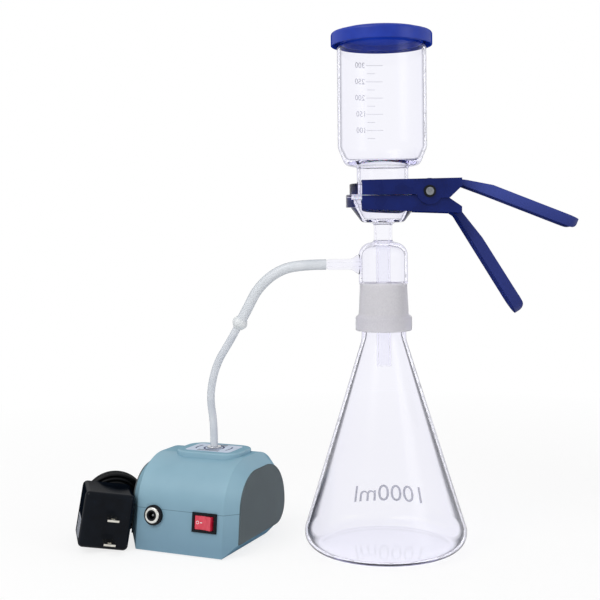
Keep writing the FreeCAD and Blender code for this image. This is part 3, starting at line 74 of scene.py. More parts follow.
# %% [markdown]
# ## Camera
# A long lens far away keeps the tall glass upright and its rims flat. The camera looks level, half
# way up the stack, and the frame is shifted down instead of tilting the view, so upright edges stay
# upright.

# %% Camera
def add(name, data):
    """A new object in the scene that shows this data."""
    made = bpy.data.objects.new(name, data)
    scene.collection.objects.link(made)
    return made


camera = add("camera", bpy.data.cameras.new("camera"))
EYE_PLACE = (-0.0688, -0.912, 0.263)
LEVEL, ROLL = math.radians(90), math.radians(0.5)
FRAME_DROP = 7 / 60
camera.location = EYE_PLACE
camera.rotation_euler = (LEVEL, ROLL, 0)
camera.data.sensor_width, camera.data.lens = 36, 66
camera.data.shift_y = -FRAME_DROP
scene.camera = camera
scene.view_settings.view_transform = "Standard"
print("camera", tuple(camera.location), "lens", camera.data.lens)

# %% [markdown]
# ## Frames
# Sizes are easiest to read in millimetres, so every piece is drawn in millimetres in the frame of
# the thing it belongs to and turned to metres in one step. The pump stands turned on the table, its
# front face leans back a little, and the adapter stands turned the other way and leans against the
# pump.

# %% Frames of the pump and the adapter
TO_METRES = Matrix.Scale(0.001, 4)
FACE_SLOPE = 0.11612
FACE_LEAN = math.degrees(math.atan(FACE_SLOPE))
JACK_HEIGHT, SWITCH_HEIGHT = 28.7, 26.8


def stand(place, turn=0.0, axis="Z"):
    """A frame at a place in millimetres, turned by some degrees about one axis."""
    return Matrix.Translation(Vector(place)) @ Matrix.Rotation(math.radians(turn), 4, axis)


ROW = Matrix.Identity(4)
PUMP = stand((-170.3, -19.05, 0.8), -23.65)
JACK = PUMP @ stand((-24.0, JACK_HEIGHT * FACE_SLOPE, JACK_HEIGHT), 90 - FACE_LEAN, "X")
SWITCH = PUMP @ stand((23.4, SWITCH_HEIGHT * FACE_SLOPE, SWITCH_HEIGHT), 90 - FACE_LEAN, "X")
ROCKER = SWITCH @ stand((0, 0, -1.5), -10, "Y")
ADAPTER = stand((-232.3, -12.0, 0), 14)
LEANING = ADAPTER @ stand((16.5, 0, 4), 9.5, "Y") @ Matrix.Translation((-16.5, 0, -4))


def facing(frame_of, origin, out, up):
    """A frame on a surface: y points out of it and z up along it."""
    y, z = Vector(out), Vector(up)
    axes = Matrix((y.cross(z), y, z)).transposed().to_4x4()
    return frame_of @ Matrix.Translation(Vector(origin)) @ axes


print("pump at", tuple(PUMP.translation), "adapter at", tuple(ADAPTER.translation))

# %% [markdown]
# ## Colours and nodes
# Colours are written as hex values, as a paint chart gives them, and one function turns them to the
# linear light that the shaders work in. One function adds a node with its settings and its links.


# %% Colour and node helpers
def linear(code, alpha=1.0):
    """An sRGB hex colour as linear light."""
    parts = [int(code[i : i + 2], 16) / 255 for i in (1, 3, 5)]
    light = [c / 12.92 if c <= 0.04045 else ((c + 0.055) / 1.055) ** 2.4 for c in parts]
    return (*light, alpha)


def node(tree, kind, settings=None, links=None):
    """Adds one node. Settings are its own properties or socket values, links feed its sockets."""
    # most nodes here belong to shaders, and their kinds are told without ShaderNode in front
    made = tree.nodes.new(kind if "Node" in kind else f"ShaderNode{kind}")
    for name, value in (settings or {}).items():
        if isinstance(name, str) and hasattr(made, name):
            setattr(made, name, value)
        else:
            made.inputs[name].default_value = value
    for name, source in (links or {}).items():
        socket = source.outputs[0] if isinstance(source, bpy.types.Node) else source
        tree.links.new(socket, made.inputs[name])
    return made


def blank(name):
    """A material with an empty node tree and its output node."""
    material = bpy.data.materials.new(name)
    material.use_nodes = True
    material.node_tree.nodes.clear()
    return material, material.node_tree, node(material.node_tree, "OutputMaterial")


def speckle(tree, size):
    """A noise pattern on the piece's own coordinates whose blots are that many millimetres wide."""
    place = node(tree, "TexCoord").outputs["Object"]
    settings = {"Scale": 1000 / size, "Detail": 2.0, "Roughness": 0.5}
    return node(tree, "TexNoise", settings, {"Vector": place})


def between(tree, factor, low, high):
    """A factor from 0.3 to 0.7, where most of a noise lies, spread from low to high."""
    settings = {"From Min": 0.3, "From Max": 0.7, "To Min": low, "To Max": high}
    return node(tree, "MapRange", settings, {"Value": factor})


def shades(tree, factor, dark, light):
    """A colour from dark to light as the factor rises."""
    mix = node(tree, "Mix", {"data_type": "RGBA"}, {0: factor})
    mix.inputs[6].default_value = linear(dark)
    mix.inputs[7].default_value = linear(light)
    return mix.outputs[2]


# %% [markdown]
# ## Solid finishes
# Plastic, rubber, paint and metal differ in how rough they are, how strongly they mirror and how
# coarse their surface is. One recipe covers them: a colour that drifts a little between two shades,
# a roughness that drifts with it, and a fine grain as bump, each from a noise with its real size.
# The gloss of paint and plastic fades where the surface turns away, as on a slightly worn skin.


# %% Recipe for a solid finish
RIM_FROM, RIM_TO = 0.4, 0.8


def solid(name, dark, light, drift, rough, grain, relief, stretch=None, gloss=0.5, **sockets):
    """A solid material: shades drift over some millimetres, the grain is finer and raised."""
    material, tree, output = blank(name)
    place = node(tree, "TexCoord").outputs["Object"]
    if stretch:
        place = node(tree, "Mapping", {"Scale": stretch}, {"Vector": place})
    broad, fine = (
        node(tree, "TexNoise", {"Scale": 1000 / size, "Detail": detail}, {"Vector": place})
        for size, detail in ((drift, 3.0), (grain, 2.0))
    )
    bump = {"Strength": 0.35, "Distance": relief / 1000}
    links = {
        "Base Color": shades(tree, between(tree, broad, 0.0, 1.0), dark, light),
        "Roughness": between(tree, broad, *rough),
        "Normal": node(tree, "Bump", bump, {"Height": fine}),
    }
    settings = {key.replace("_", " "): value for key, value in sockets.items()}
    if not settings.get("Metallic"):
        slant = node(tree, "LayerWeight", {"Blend": 0.5}).outputs["Facing"]
        fading = {"From Min": RIM_FROM, "From Max": RIM_TO, "To Min": gloss, "To Max": 0.0}
        links["Specular IOR Level"] = node(tree, "MapRange", fading, {"Value": slant})
    surface = node(tree, "BsdfPrincipled", settings, links)
    tree.links.new(surface.outputs[0], output.inputs["Surface"])
    return material


# %% [markdown]
# Each entry starts from the real material. Moulded polypropylene and ABS have an IOR of about 1.5
# and a satin skin from the mould. Paint on the clamp is smoother. Black plastic shows the room in
# its gloss, so its gloss stays low. The numbers are how far the shades drift, the range of the
# roughness, the width of the grain and the height of its relief, all but the roughness in
# millimetres.

# %% Plastics, rubber and paint
FINISHES = {
    # polypropylene, moulded: an even satin skin, slightly waxy, in a deep clear blue
    "lid_plastic": solid(
        "moulded polypropylene, blue", "#15339f", "#1c3db0", 18, (0.3, 0.38), 0.5, 0.03,
        gloss=0.3, IOR=1.49,
    ),
    # steel sheet with baked enamel: smooth and dark, the light lies along its folds
    "blue_anodised": solid(
        "baked enamel on steel, navy", "#0d1a58", "#14246a", 14, (0.24, 0.32), 0.6, 0.02,
        gloss=0.14, IOR=1.5,
    ),
    # ABS, moulded: fine spark-eroded grain over a pale blue-grey
    "case_plastic": solid(
        "moulded ABS, pale blue", "#8db4c6", "#97becf", 40, (0.36, 0.46), 0.35, 0.03,
        gloss=0.4, IOR=1.53,
    ),
    "panel_plastic": solid(
        "moulded ABS, slate", "#4a565a", "#545f63", 30, (0.4, 0.5), 0.35, 0.03,
        gloss=0.3, IOR=1.53,
    ),
    # laminated paper label: smooth and faintly blue
    "label_print": solid(
        "laminated paper", "#d5e0f2", "#dee8f8", 9, (0.25, 0.35), 0.2, 0.01, IOR=1.5
    ),
    # polypropylene, natural: milky white with a soft shine
    "connector_plastic": solid(
        "natural polypropylene", "#e2e7ea", "#eef1f3", 6, (0.25, 0.35), 0.3, 0.02, IOR=1.49
    ),
    # nitrile rubber: dull, nearly black
    "foot_rubber": solid(
        "nitrile rubber", "#1b1c1e", "#242629", 5, (0.6, 0.75), 0.3, 0.04, gloss=0.25
    ),
    # nylon, dyed through: hard with a soft shine
    "black_washer": solid(
        "black nylon", "#0b0d13", "#12151c", 5, (0.3, 0.42), 0.3, 0.02, gloss=0.15
    ),
    "pump_nylon": solid("natural nylon", "#cfcdc2", "#dddbd1", 8, (0.35, 0.5), 0.3, 0.03, IOR=1.53),
    # polycarbonate, dyed through: bright red under a clear glossy skin
    "switch_red": solid(
        "polycarbonate, red", "#d9203f", "#ea3a56", 4, (0.16, 0.24), 0.3, 0.01,
        IOR=1.58, Coat_Weight=0.3,
    ),
    # ABS, polished mould: black that mirrors its surroundings along the rounded edges
    "adapter_plastic": solid(
        "polished ABS, black", "#070b12", "#0d131c", 12, (0.12, 0.18), 0.5, 0.01,
        gloss=0.1, IOR=1.5,
    ),
    "adapter_print": solid("printed film, grey", "#a3a7b0", "#b6bac2", 5, (0.35, 0.45), 0.2, 0.01),
    # PVC jacket: black and a little greasy in its shine
    "lead_jacket": solid("PVC, black", "#08090b", "#101215", 8, (0.35, 0.5), 0.4, 0.02, gloss=0.15),
    "wire_red": solid("PVC, red", "#b31a1d", "#c42628", 5, (0.35, 0.5), 0.3, 0.01),
    "wire_black": solid("PVC, black wire", "#121214", "#1c1c1f", 5, (0.35, 0.5), 0.3, 0.01),
    # glass fibre laminate: green solder resist
    "board_laminate": solid(
        "glass fibre laminate", "#1d5f3a", "#257047", 3, (0.3, 0.45), 0.3, 0.02
    ),
    "capacitor_sleeve": solid("shrink sleeve", "#20242c", "#2b313b", 4, (0.3, 0.4), 0.3, 0.01),
    # sintered glass: white and porous, its grains are coarser than real ones so that they show
    "frit_glass": solid(
        "sintered glass", "#dfe2e6", "#f4f6f8", 1.2, (0.6, 0.8), 0.5, 0.12,
        Subsurface_Weight=0.4, Subsurface_Scale=0.002,
    ),
}
print("plastics and paint", len(FINISHES))

# %% [markdown]
# ## Painted light and shade, and the seam
# The lever handles are painted paler where they leave the jaws, and the upper handle palest, as
# painted light that stands for the lamp above falling on them; the case is painted darker towards
# the table, as painted shade. Each is a second colour laid over the first by a factor that rises
# along one axis. Where two such factors meet, their product is a thin band, which draws the dark
# line between the two halves of the case.


# %% Painted light and shade by place, and the seam line
def touch_up(material, factor, code):
    """Blends another colour over a material's own where the factor is 1."""
    tree = material.node_tree
    surface = next(n for n in tree.nodes if n.type == "BSDF_PRINCIPLED")
    own = surface.inputs["Base Color"].links[0].from_socket
    mix = node(tree, "Mix", {"data_type": "RGBA"}, {0: factor, 6: own})
    mix.inputs[7].default_value = linear(code)
    tree.links.new(mix.outputs[2], surface.inputs["Base Color"])


def along(material, axis, start, stop, most=1.0):
    """A factor that rises from 0 to its most between two places, in millimetres along an axis."""
    tree = material.node_tree
    place = node(tree, "TexCoord").outputs["Object"]
    value = node(tree, "SeparateXYZ", None, {"Vector": place}).outputs[axis]
    settings = {"From Min": start / 1000, "From Max": stop / 1000, "To Max": most}
    return node(tree, "MapRange", settings, {"Value": value})


def both(material, one, other):
    """A factor that is 1 only where both of the others are."""
    times = {"operation": "MULTIPLY"}
    return node(material.node_tree, "Math", times, {0: one, 1: other})


enamel, case = FINISHES["blue_anodised"], FINISHES["case_plastic"]
# painted light: both handles are painted paler from the jaws outwards, where the lamp above lights
# them
touch_up(enamel, along(enamel, "X", 58, 74, 0.6), "#343f86")
# painted light: the upper handle is painted paler still between these heights, where it faces the
# lamp
upper_handle_painted_light = both(enamel, along(enamel, "X", 60, 84, 0.7), along(enamel, "Z", 262, 292))
touch_up(enamel, upper_handle_painted_light, "#4453a4")
# painted shade: the case is painted darker towards the table, away from the lamp above
touch_up(case, along(case, "Z", 52, 8, 0.6), "#6587a0")
SEAM_HEIGHT, SEAM_WIDTH = 34.6, 0.35
below_seam = along(case, "Z", SEAM_HEIGHT - SEAM_WIDTH, SEAM_HEIGHT)
above_seam = along(case, "Z", SEAM_HEIGHT + SEAM_WIDTH, SEAM_HEIGHT)
touch_up(case, both(case, below_seam, above_seam), "#4a6476")
print("enamel and case touched up")

# %% [markdown]
# ## Metals
# A metal keeps the default IOR, and its colour is what it mirrors. The noise is drawn out along one
# axis where the surface was turned or rolled.

# %% Metals
METALS = {
    "rivet_steel": ("zinc-plated steel", "#75787c", "#8d9094", 2.0, (0.3, 0.42), None),
    "jack_metal": ("nickel-plated brass", "#c9c9c4", "#e3e3df", 1.5, (0.1, 0.2), None),
    "barb_brass": ("nickel-plated turned brass", "#b3b5ba", "#cbccd0", 2.0, (0.2, 0.3), (1, 1, 6)),
    "terminal_brass": ("tinned brass", "#c0b48c", "#d3c9a4", 2.0, (0.25, 0.35), None),
    "blade_metal": ("nickel-plated blade brass", "#c6c3ba", "#dedbd2", 3.0, (0.12, 0.22), None),
    "motor_steel": ("drawn steel", "#8f9396", "#a8acaf", 4.0, (0.25, 0.38), (6, 6, 1)),
    "rotor_steel": ("laminated steel", "#6f7174", "#85888b", 1.2, (0.35, 0.5), (6, 6, 1)),
    "transformer_core": ("core steel", "#5d5f63", "#74777b", 1.2, (0.4, 0.55), (1, 1, 8)),
}
for slot_name, (name, dark, light, drift, rough, stretch) in METALS.items():
    FINISHES[slot_name] = solid(name, dark, light, drift, rough, 0.3, 0.01, stretch, Metallic=1.0)
print("metals", sorted(METALS))

# %% [markdown]
# ## Silicone
# The hose is milky: light goes in, scatters and comes out a little further on, so it is bright and
# even in the middle and greyer at its edges, where less light comes back. True scattering in so
# thin a tube renders as coloured grain, so a second colour at grazing angles gives the darker edge.


# %% Silicone hose
def silicone(name, dark, light):
    """Milky rubber, greyer where its wall is seen at a slant."""
    material, tree, output = blank(name)
    rim = node(tree, "LayerWeight", {"Blend": 0.5}).outputs["Facing"]
    edge = node(tree, "MapRange", {"From Min": 0.35, "From Max": 0.95}, {"Value": rim})
    milk = shades(tree, between(tree, speckle(tree, 12), 0.0, 1.0), dark, light)
    colour = node(tree, "Mix", {"data_type": "RGBA"}, {0: edge, 6: milk})
    colour.inputs[7].default_value = linear("#a7b0bb")
    links = {
        "Base Color": colour.outputs[2], "Roughness": between(tree, speckle(tree, 1.5), 0.2, 0.32)
    }
    surface = node(tree, "BsdfPrincipled", {"IOR": 1.41, "Specular IOR Level": 0.4}, links)
    tree.links.new(surface.outputs[0], output.inputs["Surface"])
    return material


FINISHES["hose_upper_silicone"] = silicone("silicone tube, milky", "#dfe4ea", "#eaeef3")
FINISHES["hose_lower_silicone"] = silicone("silicone tube, thin", "#d9dee6", "#e6eaf0")
print("silicone ready")

# %% [markdown]
# ## Borosilicate glass
# Clear glass shows itself by its edges: where the wall is seen along its length, the path through
# the glass is long and the view bends away, so the outline turns to a thin grey line. Colour ramps
# over the slant draw that line, a faint one on outer faces and a darker one on inner faces, and the
# long path adds its tint by absorption in the volume. The bend is set well below the real 1.47,
# because thin walls seen through one another would fill with black; a clear coat brings back the
# real gloss. The joint between flask and filter base is ground: the glass is rough and white
# between two heights. Lamps pass through mostly unhindered, so the shadow stays light as that of
# real glass.


# %% Borosilicate glass
GLASS_BEND = 1.08
GROUND_FROM, GROUND_TO, RAGGED = 0.179, 0.2186, 0.0004
DEPTH_TINT = {"Color": (0.62, 0.6, 0.86, 1.0), "Density": 26.0}


def slant_ramp(tree, stops):
    """A colour that changes with the slant at which the surface is seen."""
    rim = node(tree, "LayerWeight", {"Blend": 0.5}).outputs["Facing"]
    ramp = node(tree, "ValToRGB", None, {"Fac": rim})
    for position, _ in stops[1:-1]:
        ramp.color_ramp.elements.new(position)
    for stop, (position, code) in zip(ramp.color_ramp.elements, stops):
        stop.position, stop.color = position, linear(code)
    return ramp


def inner_face(tree, place):
    """1 on a wall's inner face, which looks towards the upright axis, and 0 on its outer face."""
    level = {"operation": "MULTIPLY", 1: (1, 1, 0)}
    level_place = node(tree, "VectorMath", level, {0: place})
    from_axis = node(tree, "VectorMath", {"operation": "NORMALIZE"}, {0: level_place})
    looks = node(tree, "TexCoord").outputs["Normal"]
    outwards = node(
        tree, "VectorMath", {"operation": "DOT_PRODUCT"}, {0: from_axis, 1: looks}
    ).outputs["Value"]
    return node(tree, "MapRange", {"From Min": -0.2, "From Max": -0.6}, {"Value": outwards})


def ground_zone(tree, place):
    """1 between the two heights of the ground joint, with ragged ends."""
    height = node(tree, "SeparateXYZ", None, {"Vector": place}).outputs["Z"]
    grit = between(tree, speckle(tree, 0.8), -RAGGED, RAGGED)
    ragged = node(tree, "Math", {"operation": "ADD"}, {0: height, 1: grit})
    above, below = (
        node(tree, "MapRange", {"From Min": end - side, "From Max": end + side}, {0: ragged})
        for end, side in ((GROUND_FROM, RAGGED), (GROUND_TO, -RAGGED))
    )
    return node(tree, "Math", {"operation": "MULTIPLY"}, {0: above, 1: below})


def glass(name, outer_edge, inner_edge):
    """Clear glass with a line along its outer rim, another along its inner one, and the joint."""
    material, tree, output = blank(name)
    place = node(tree, "TexCoord").outputs["Object"]
    frost = ground_zone(tree, place)
    rims = [slant_ramp(tree, stops) for stops in (outer_edge, inner_edge)]
    which = {0: inner_face(tree, place), 6: rims[0], 7: rims[1]}
    edges = node(tree, "Mix", {"data_type": "RGBA"}, which).outputs[2]
    ground = shades(tree, between(tree, speckle(tree, 1.1), 0.0, 1.0), "#e6e5e6", "#f4f3f3")
    tint = node(tree, "Mix", {"data_type": "RGBA"}, {0: frost, 6: edges, 7: ground})
    smooth = between(tree, speckle(tree, 6), 0.0, 0.015)
    rougher, duller = {"operation": "MULTIPLY_ADD", 1: 0.5}, {"operation": "MULTIPLY_ADD", 1: -0.45}
    rough = node(tree, "Math", rougher, {0: frost, 2: smooth})
    clear = node(tree, "Math", {**duller, 2: 1.0}, {0: frost})
    surface = node(
        tree, "BsdfPrincipled",
        {"IOR": GLASS_BEND, "Specular IOR Level": 1.0, "Coat Weight": 0.3, "Coat IOR": 1.4},
        {"Base Color": tint.outputs[2], "Roughness": rough, "Transmission Weight": clear},
    )
    lamp_ray = node(tree, "LightPath").outputs["Is Shadow Ray"]
    passing = node(tree, "BsdfTransparent", {"Color": linear("#f0f0f6")})
    whole = node(tree, "MixShader", None, {0: lamp_ray, 1: surface, 2: passing})
    tree.links.new(whole.outputs[0], output.inputs["Surface"])
    depth = node(tree, "VolumeAbsorption", DEPTH_TINT)
    tree.links.new(depth.outputs[0], output.inputs["Volume"])
    return material


FAINT_EDGE = [(0.7, "#fdfdff"), (0.82, "#b4b5bd"), (0.93, "#6d6e76"), (1.0, "#7c7d84")]
THIN_EDGE = [(0.66, "#fdfdff"), (0.76, "#9fa0a9"), (0.87, "#6c6d75"), (1.0, "#66676e")]
DARK_EDGE = [(0.6, "#fdfdff"), (0.68, "#5b5c62"), (0.76, "#222327"), (1.0, "#1c1d20")]
FINISHES["borosilicate_glass"] = glass("borosilicate glass", FAINT_EDGE, THIN_EDGE)
THICK_GLASS = glass("borosilicate glass, thick wall", FAINT_EDGE, DARK_EDGE)
print("glass ready")

# %% [markdown]
# ## Dressing the sub-parts
# The construction's own meshes are exact and smooth, so most sub-parts keep them and only get their
# material. The slot's name in the record says which finish each one has.

# %% Give every sub-part its finish
for name in frame["nodes"]:
    part = bpy.data.objects[name]
    for index, old in enumerate(part.data.materials):
        slot_name = old.name.split(".")[0]
        part.data.materials[index] = THICK_GLASS if name == "flask" else FINISHES[slot_name]
print("dressed", len(frame["nodes"]), "sub-parts")

# %% [markdown]
# ## Hoses and lead
# A hose or lead is one smooth line with a round section, so each is a single spline with a bevel.
# The control points are in millimetres along the real run. The lead is wound up behind the adapter:
# nine places in the coil's square section are filled one after another, each next to the last, and
# the wire steps from one to the next at the foot of the coil, where it hides the steps.


# %% One spline for a cord
def cord_line(name, points, frame_of, thickness, finish):
    """An open spline through control points in millimetres, with a round section."""
    curve = bpy.data.curves.new(name, "CURVE")
    curve.dimensions, curve.use_fill_caps = "3D", True
    curve.bevel_depth, curve.bevel_resolution, curve.resolution_u = 1.0, 6, 6
    spline = curve.splines.new("NURBS")
    spline.points.add(len(points) - 1)
    for spot, point in zip(spline.points, points):
        spot.co = (*(TO_METRES @ frame_of @ Vector(point)), 1)
        spot.radius = thickness / 2000
    spline.order_u = 3
    spline.use_endpoint_u = True
    curve.materials.append(finish)
    return add(name, curve)


def plain_mesh(made):
    """The plain mesh that a curve, a text or a tree gives."""
    result = made.evaluated_get(bpy.context.evaluated_depsgraph_get())
    return bpy.data.meshes.new_from_object(result)


def run_length(made):
    """The length of a cord's line in metres, from the curve without its bevel."""
    bevel, made.data.bevel_depth = made.data.bevel_depth, 0
    line = plain_mesh(made)
    made.data.bevel_depth = bevel
    spots = [v.co.copy() for v in line.vertices]
    bpy.data.meshes.remove(line)
    return sum((b - a).length for a, b in zip(spots, spots[1:]))


# %% The two hoses
UPPER_RUN = [
    (-47.3, 0, 234.2), (-72.3, 0, 234.2), (-90.3, 1.5, 227.7), (-105, 5, 214),
    (-112.37, 8.75, 199.36), (-118, 11, 189),
]
LOWER_RUN = [
    (-122.22, 12.69, 181.23), (-128.79, 15.32, 169.15), (-138.6, 19.0, 154.0),
    (-144.4, 22.4, 136.5), (-146.6, 25.6, 118.5), (-143.70, 27.98, 99.4), (-143.70, 27.98, 79.4),
]
upper_hose = cord_line("upper_hose", UPPER_RUN, ROW, 8.7, FINISHES["hose_upper_silicone"])
lower_hose = cord_line("lower_hose", LOWER_RUN, ROW, 6.5, FINISHES["hose_lower_silicone"])
for hose, run, thick, end, stands_for in (
    (upper_hose, UPPER_RUN, 0.0087, "connector", "hose_upper"),
    (lower_hose, LOWER_RUN, 0.0065, "object", "hose_lower"),
):
    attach(hose, "base")
    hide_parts(stands_for)
    run_length(hose)
    print(hose.name, "is", round(run_length(hose) * 1000, 1), "mm long")

# %% The lead with its turns
COIL_CENTRE = Vector((13.5, 53.438, 27.850))
COIL_TILT = math.radians(4)
LEAD_THICK = 3.5
PLACES = [
    (25.5, 3.5), (22, 3.5), (18.5, 3.5), (18.5, 0), (18.5, -3.5), (22, -3.5), (22, 0), (25.5, 0),
    (25.5, -3.5),
]
FIRST_STEP, STEP_WIDTH = 270, 44
STEPS_PER_TURN, TURNS_LAID, FIRST_ANGLE = 16, 8.5, 11.5


def in_coil(radius, deep, angle):
    """A point of the coil, its angle in degrees running up its right side and over the top."""
    turn = math.radians(-angle)
    sine, cosine = math.sin(COIL_TILT), math.cos(COIL_TILT)
    out, up = radius * math.cos(turn), radius * math.sin(turn)
    return COIL_CENTRE + Vector((out, sine * up + cosine * deep, sine * deep - cosine * up))


def coil_place(angle):
    """The radius and the place along the axis that the wire has at an angle."""
    done = (angle - FIRST_STEP + STEP_WIDTH / 2) / 360
    index = max(0, min(len(PLACES) - 2, math.floor(done)))
    share = max(0.0, min(1.0, (done - index) * 360 / STEP_WIDTH))
    share = share * share * (3 - 2 * share)
    before, after = PLACES[index], PLACES[index + 1]
    return [a + (b - a) * share for a, b in zip(before, after)]


LEAD_OUT = [
    (11.748, 70.5, 27.10), (11.748, 86.784, 27.10), (23.463, 98.5, 18.0), (40.032, 98.5, 7.0),
    (51.748, 86.784, 2.35), (47, 74, 2.05), (45, 63, 4.8), (41, 57, 13), (39.4, 55.5, 23),
]
LEAD_HOME = [
    (-14.0, 50.6, 25.0), (-14.2, 51.3, 12.3), (-14.5, 55.8, 5.2), (-14.9, 65.5, 1.3),
    (-15.2, 76.0, 5.0), (-10.0, 85.5, 5.0),
]
TURN_ANGLES = [
    FIRST_ANGLE + 360 / STEPS_PER_TURN * i for i in range(int(TURNS_LAID * STEPS_PER_TURN))
]
# the spline cuts inside its points, so they lie a little further out than the wire
CHORD_GAIN = 1 / math.cos(math.pi / STEPS_PER_TURN) ** 0.66
turns = [in_coil(r * CHORD_GAIN, a, angle) for angle in TURN_ANGLES for r, a in [coil_place(angle)]]
lead = cord_line("lead", LEAD_OUT + turns + LEAD_HOME, ADAPTER, LEAD_THICK, FINISHES["lead_jacket"])
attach(lead, "base")
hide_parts("lead_start", "lead_coil", "lead_end")
run_length(lead)
print("lead is", round(run_length(lead), 3), "m long in", TURNS_LAID, "turns")

# %% [markdown]
# ## Ways of making a fine piece
# Marks, rings and turns of wire repeat by a rule, so geometry trees make them: a tree has named
# inputs for its sizes, and running it once leaves a plain mesh. Lettering is text turned to a mesh.
# Both come out lying on a flat sheet, x to the left, y outwards and z up, and can be bent round a
# glass wall. A turned shape is a profile of radius and height pairs swept once round its axis.


# %% Keep a piece, run a tree
def keep_piece(made, body, replaced=()):
    """Puts a finished piece on its body with smooth shading and hides the sub-parts it replaces."""
    made.data.shade_smooth()
    made.data.set_sharp_from_angle(angle=math.radians(35))
    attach(made, body)
    if replaced:
        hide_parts(*replaced)
    print(made.name, len(made.data.polygons), "faces")
    return made


def new_tree(name, inputs):
    """An empty geometry tree with named inputs; returns it, what its inputs give and its output."""
    tree = bpy.data.node_groups.new(name, "GeometryNodeTree")
    tree.interface.new_socket("Geometry", in_out="OUTPUT", socket_type="NodeSocketGeometry")
    for label, kind in inputs.items():
        tree.interface.new_socket(label, in_out="INPUT", socket_type=f"NodeSocket{kind}")
    return tree, node(tree, "NodeGroupInput").outputs, node(tree, "NodeGroupOutput")


def close_tree(tree, output, geometry, finish_socket):
    """Every tree ends the same way: copies become real and take their material."""
    real = node(tree, "GeometryNodeRealizeInstances", None, {0: geometry})
    dressed = node(tree, "GeometryNodeSetMaterial", None, {0: real, "Material": finish_socket})
    tree.links.new(dressed.outputs[0], output.inputs[0])


def grow(name, tree, values, place):
    """Runs a tree with these input values and keeps the plain mesh, put in its place."""
    made = add(name, bpy.data.meshes.new(name))
    modifier = made.modifiers.new("grow", "NODES")
    modifier.node_group = tree
    for item in tree.interface.items_tree:
        if item.in_out == "INPUT" and item.name in values:
            modifier[item.identifier] = values[item.name]
    mesh = plain_mesh(made)
    made.modifiers.remove(modifier)
    mesh.transform(TO_METRES @ place)
    made.data = mesh
    return made


# %% Drawn shapes
def as_piece(name, shape, place, finish):
    """Turns a shape drawn in millimetres to an object in its place, with its finish."""
    bmesh.ops.recalc_face_normals(shape, faces=shape.faces)
    mesh = bpy.data.meshes.new(name)
    shape.to_mesh(mesh)
    shape.free()
    mesh.transform(TO_METRES @ place)
    mesh.materials.append(finish)
    return add(name, mesh)


def turned(name, profile, place, finish, around=48):
    """Sweeps a closed profile of (radius, height) pairs in millimetres once round its axis."""
    shape = bmesh.new()
    rings = []
    for i in range(around):
        angle = 2 * math.pi * i / around
        rings.append(
            [shape.verts.new((r * math.cos(angle), r * math.sin(angle), z)) for r, z in profile]
        )
    for ring, after in zip(rings, rings[1:] + rings[:1]):
        for k in range(len(profile)):
            j = (k + 1) % len(profile)
            shape.faces.new((ring[k], after[k], after[j], ring[j]))
    bmesh.ops.remove_doubles(shape, verts=shape.verts, dist=0.0001)
    return as_piece(name, shape, place, finish)


# %% A tree for rows of printed marks
def marks_tree():
    """Short bars stacked upwards, bent round a wall of some radius."""
    inputs = {
        "Count": "Int", "Pitch": "Float", "Length": "Float", "Height": "Float",
        "Thickness": "Float", "Start": "Float", "Radius": "Float", "Segments": "Int",
        "Material": "Material",
    }
    tree, given, output = new_tree("row of marks", inputs)
    sides = {0: given["Length"], 1: given["Thickness"], 2: given["Height"]}
    size = node(tree, "CombineXYZ", None, sides)
    bar = node(tree, "GeometryNodeMeshCube", None, {"Size": size, "Vertices X": given["Segments"]})
    ends = {0: given["Length"], 2: given["Start"]}
    half = node(tree, "Math", {"operation": "MULTIPLY_ADD", 1: 0.5}, ends)
    begin = node(tree, "CombineXYZ", None, {0: half})
    step = node(tree, "CombineXYZ", None, {2: given["Pitch"]})
    line = node(
        tree, "GeometryNodeMeshLine", None,
        {"Count": given["Count"], "Start Location": begin, "Offset": step},
    )
    bars = node(tree, "GeometryNodeInstanceOnPoints", None, {"Points": line, "Instance": bar})
    real = node(tree, "GeometryNodeRealizeInstances", None, {0: bars})
    flat = node(tree, "GeometryNodeInputPosition")
    parts = node(tree, "SeparateXYZ", None, {0: flat}).outputs
    # the place along the sheet becomes an angle, the place out of it a reach from the wall's axis
    angle = node(tree, "Math", {"operation": "DIVIDE"}, {0: parts["X"], 1: given["Radius"]})
    reach = node(tree, "Math", {"operation": "ADD"}, {0: given["Radius"], 1: parts["Y"]})
    across, outward = (
        node(
            tree, "Math", {"operation": "MULTIPLY"},
            {0: reach, 1: node(tree, "Math", {"operation": curve}, {0: angle})},
        )
        for curve in ("SINE", "COSINE")
    )
    left = node(tree, "Math", {"operation": "MULTIPLY", 1: -1.0}, {0: across})
    low = node(tree, "Math", {"operation": "SUBTRACT"}, {0: outward, 1: given["Radius"]})
    bent = node(tree, "CombineXYZ", None, {0: left, 1: low, 2: parts["Z"]})
    moved = node(tree, "GeometryNodeSetPosition", None, {0: real, "Position": bent})
    turned_over = node(tree, "GeometryNodeFlipFaces", None, {0: moved})
    close_tree(tree, output, turned_over, given["Material"])
    return tree


MARKS = marks_tree()
FLAT = 100000.0


def print_marks(title, place, body, slot_name, finish, size, **others):
    """Keeps a row of bars of a length, height and thickness: one, centred and flat unless told."""
    long, high, thick = size
    values = {
        "Count": 1, "Pitch": 1.0, "Length": long, "Height": high, "Thickness": thick,
        "Start": -long / 2, "Radius": FLAT, "Segments": 2, "Material": finish,
    }
    values.update({label.title(): value for label, value in others.items()})
    keep_piece(grow(title, MARKS, values, place), body)


print("marks tree with", len(MARKS.nodes), "nodes")

# %% [markdown]
# ## Graduations on the cup and the flask
# The scale is printed on the far side of the cup and reads from there, so from the front it is seen
# through the glass and reversed. Baked enamel print is a thin dull layer that stands a little
# proud. The wall's radius is measured on the glass itself.

# %% Printed enamel and the wall's radius
PRINT_GREY = solid("baked enamel print", "#b4b6bf", "#c3c5cd", 3, (0.5, 0.65), 0.2, 0.01, Alpha=0.5)
WHITE_PRINT = solid("pad print, white", "#eceef0", "#fbfbfb", 2, (0.4, 0.5), 0.2, 0.01)


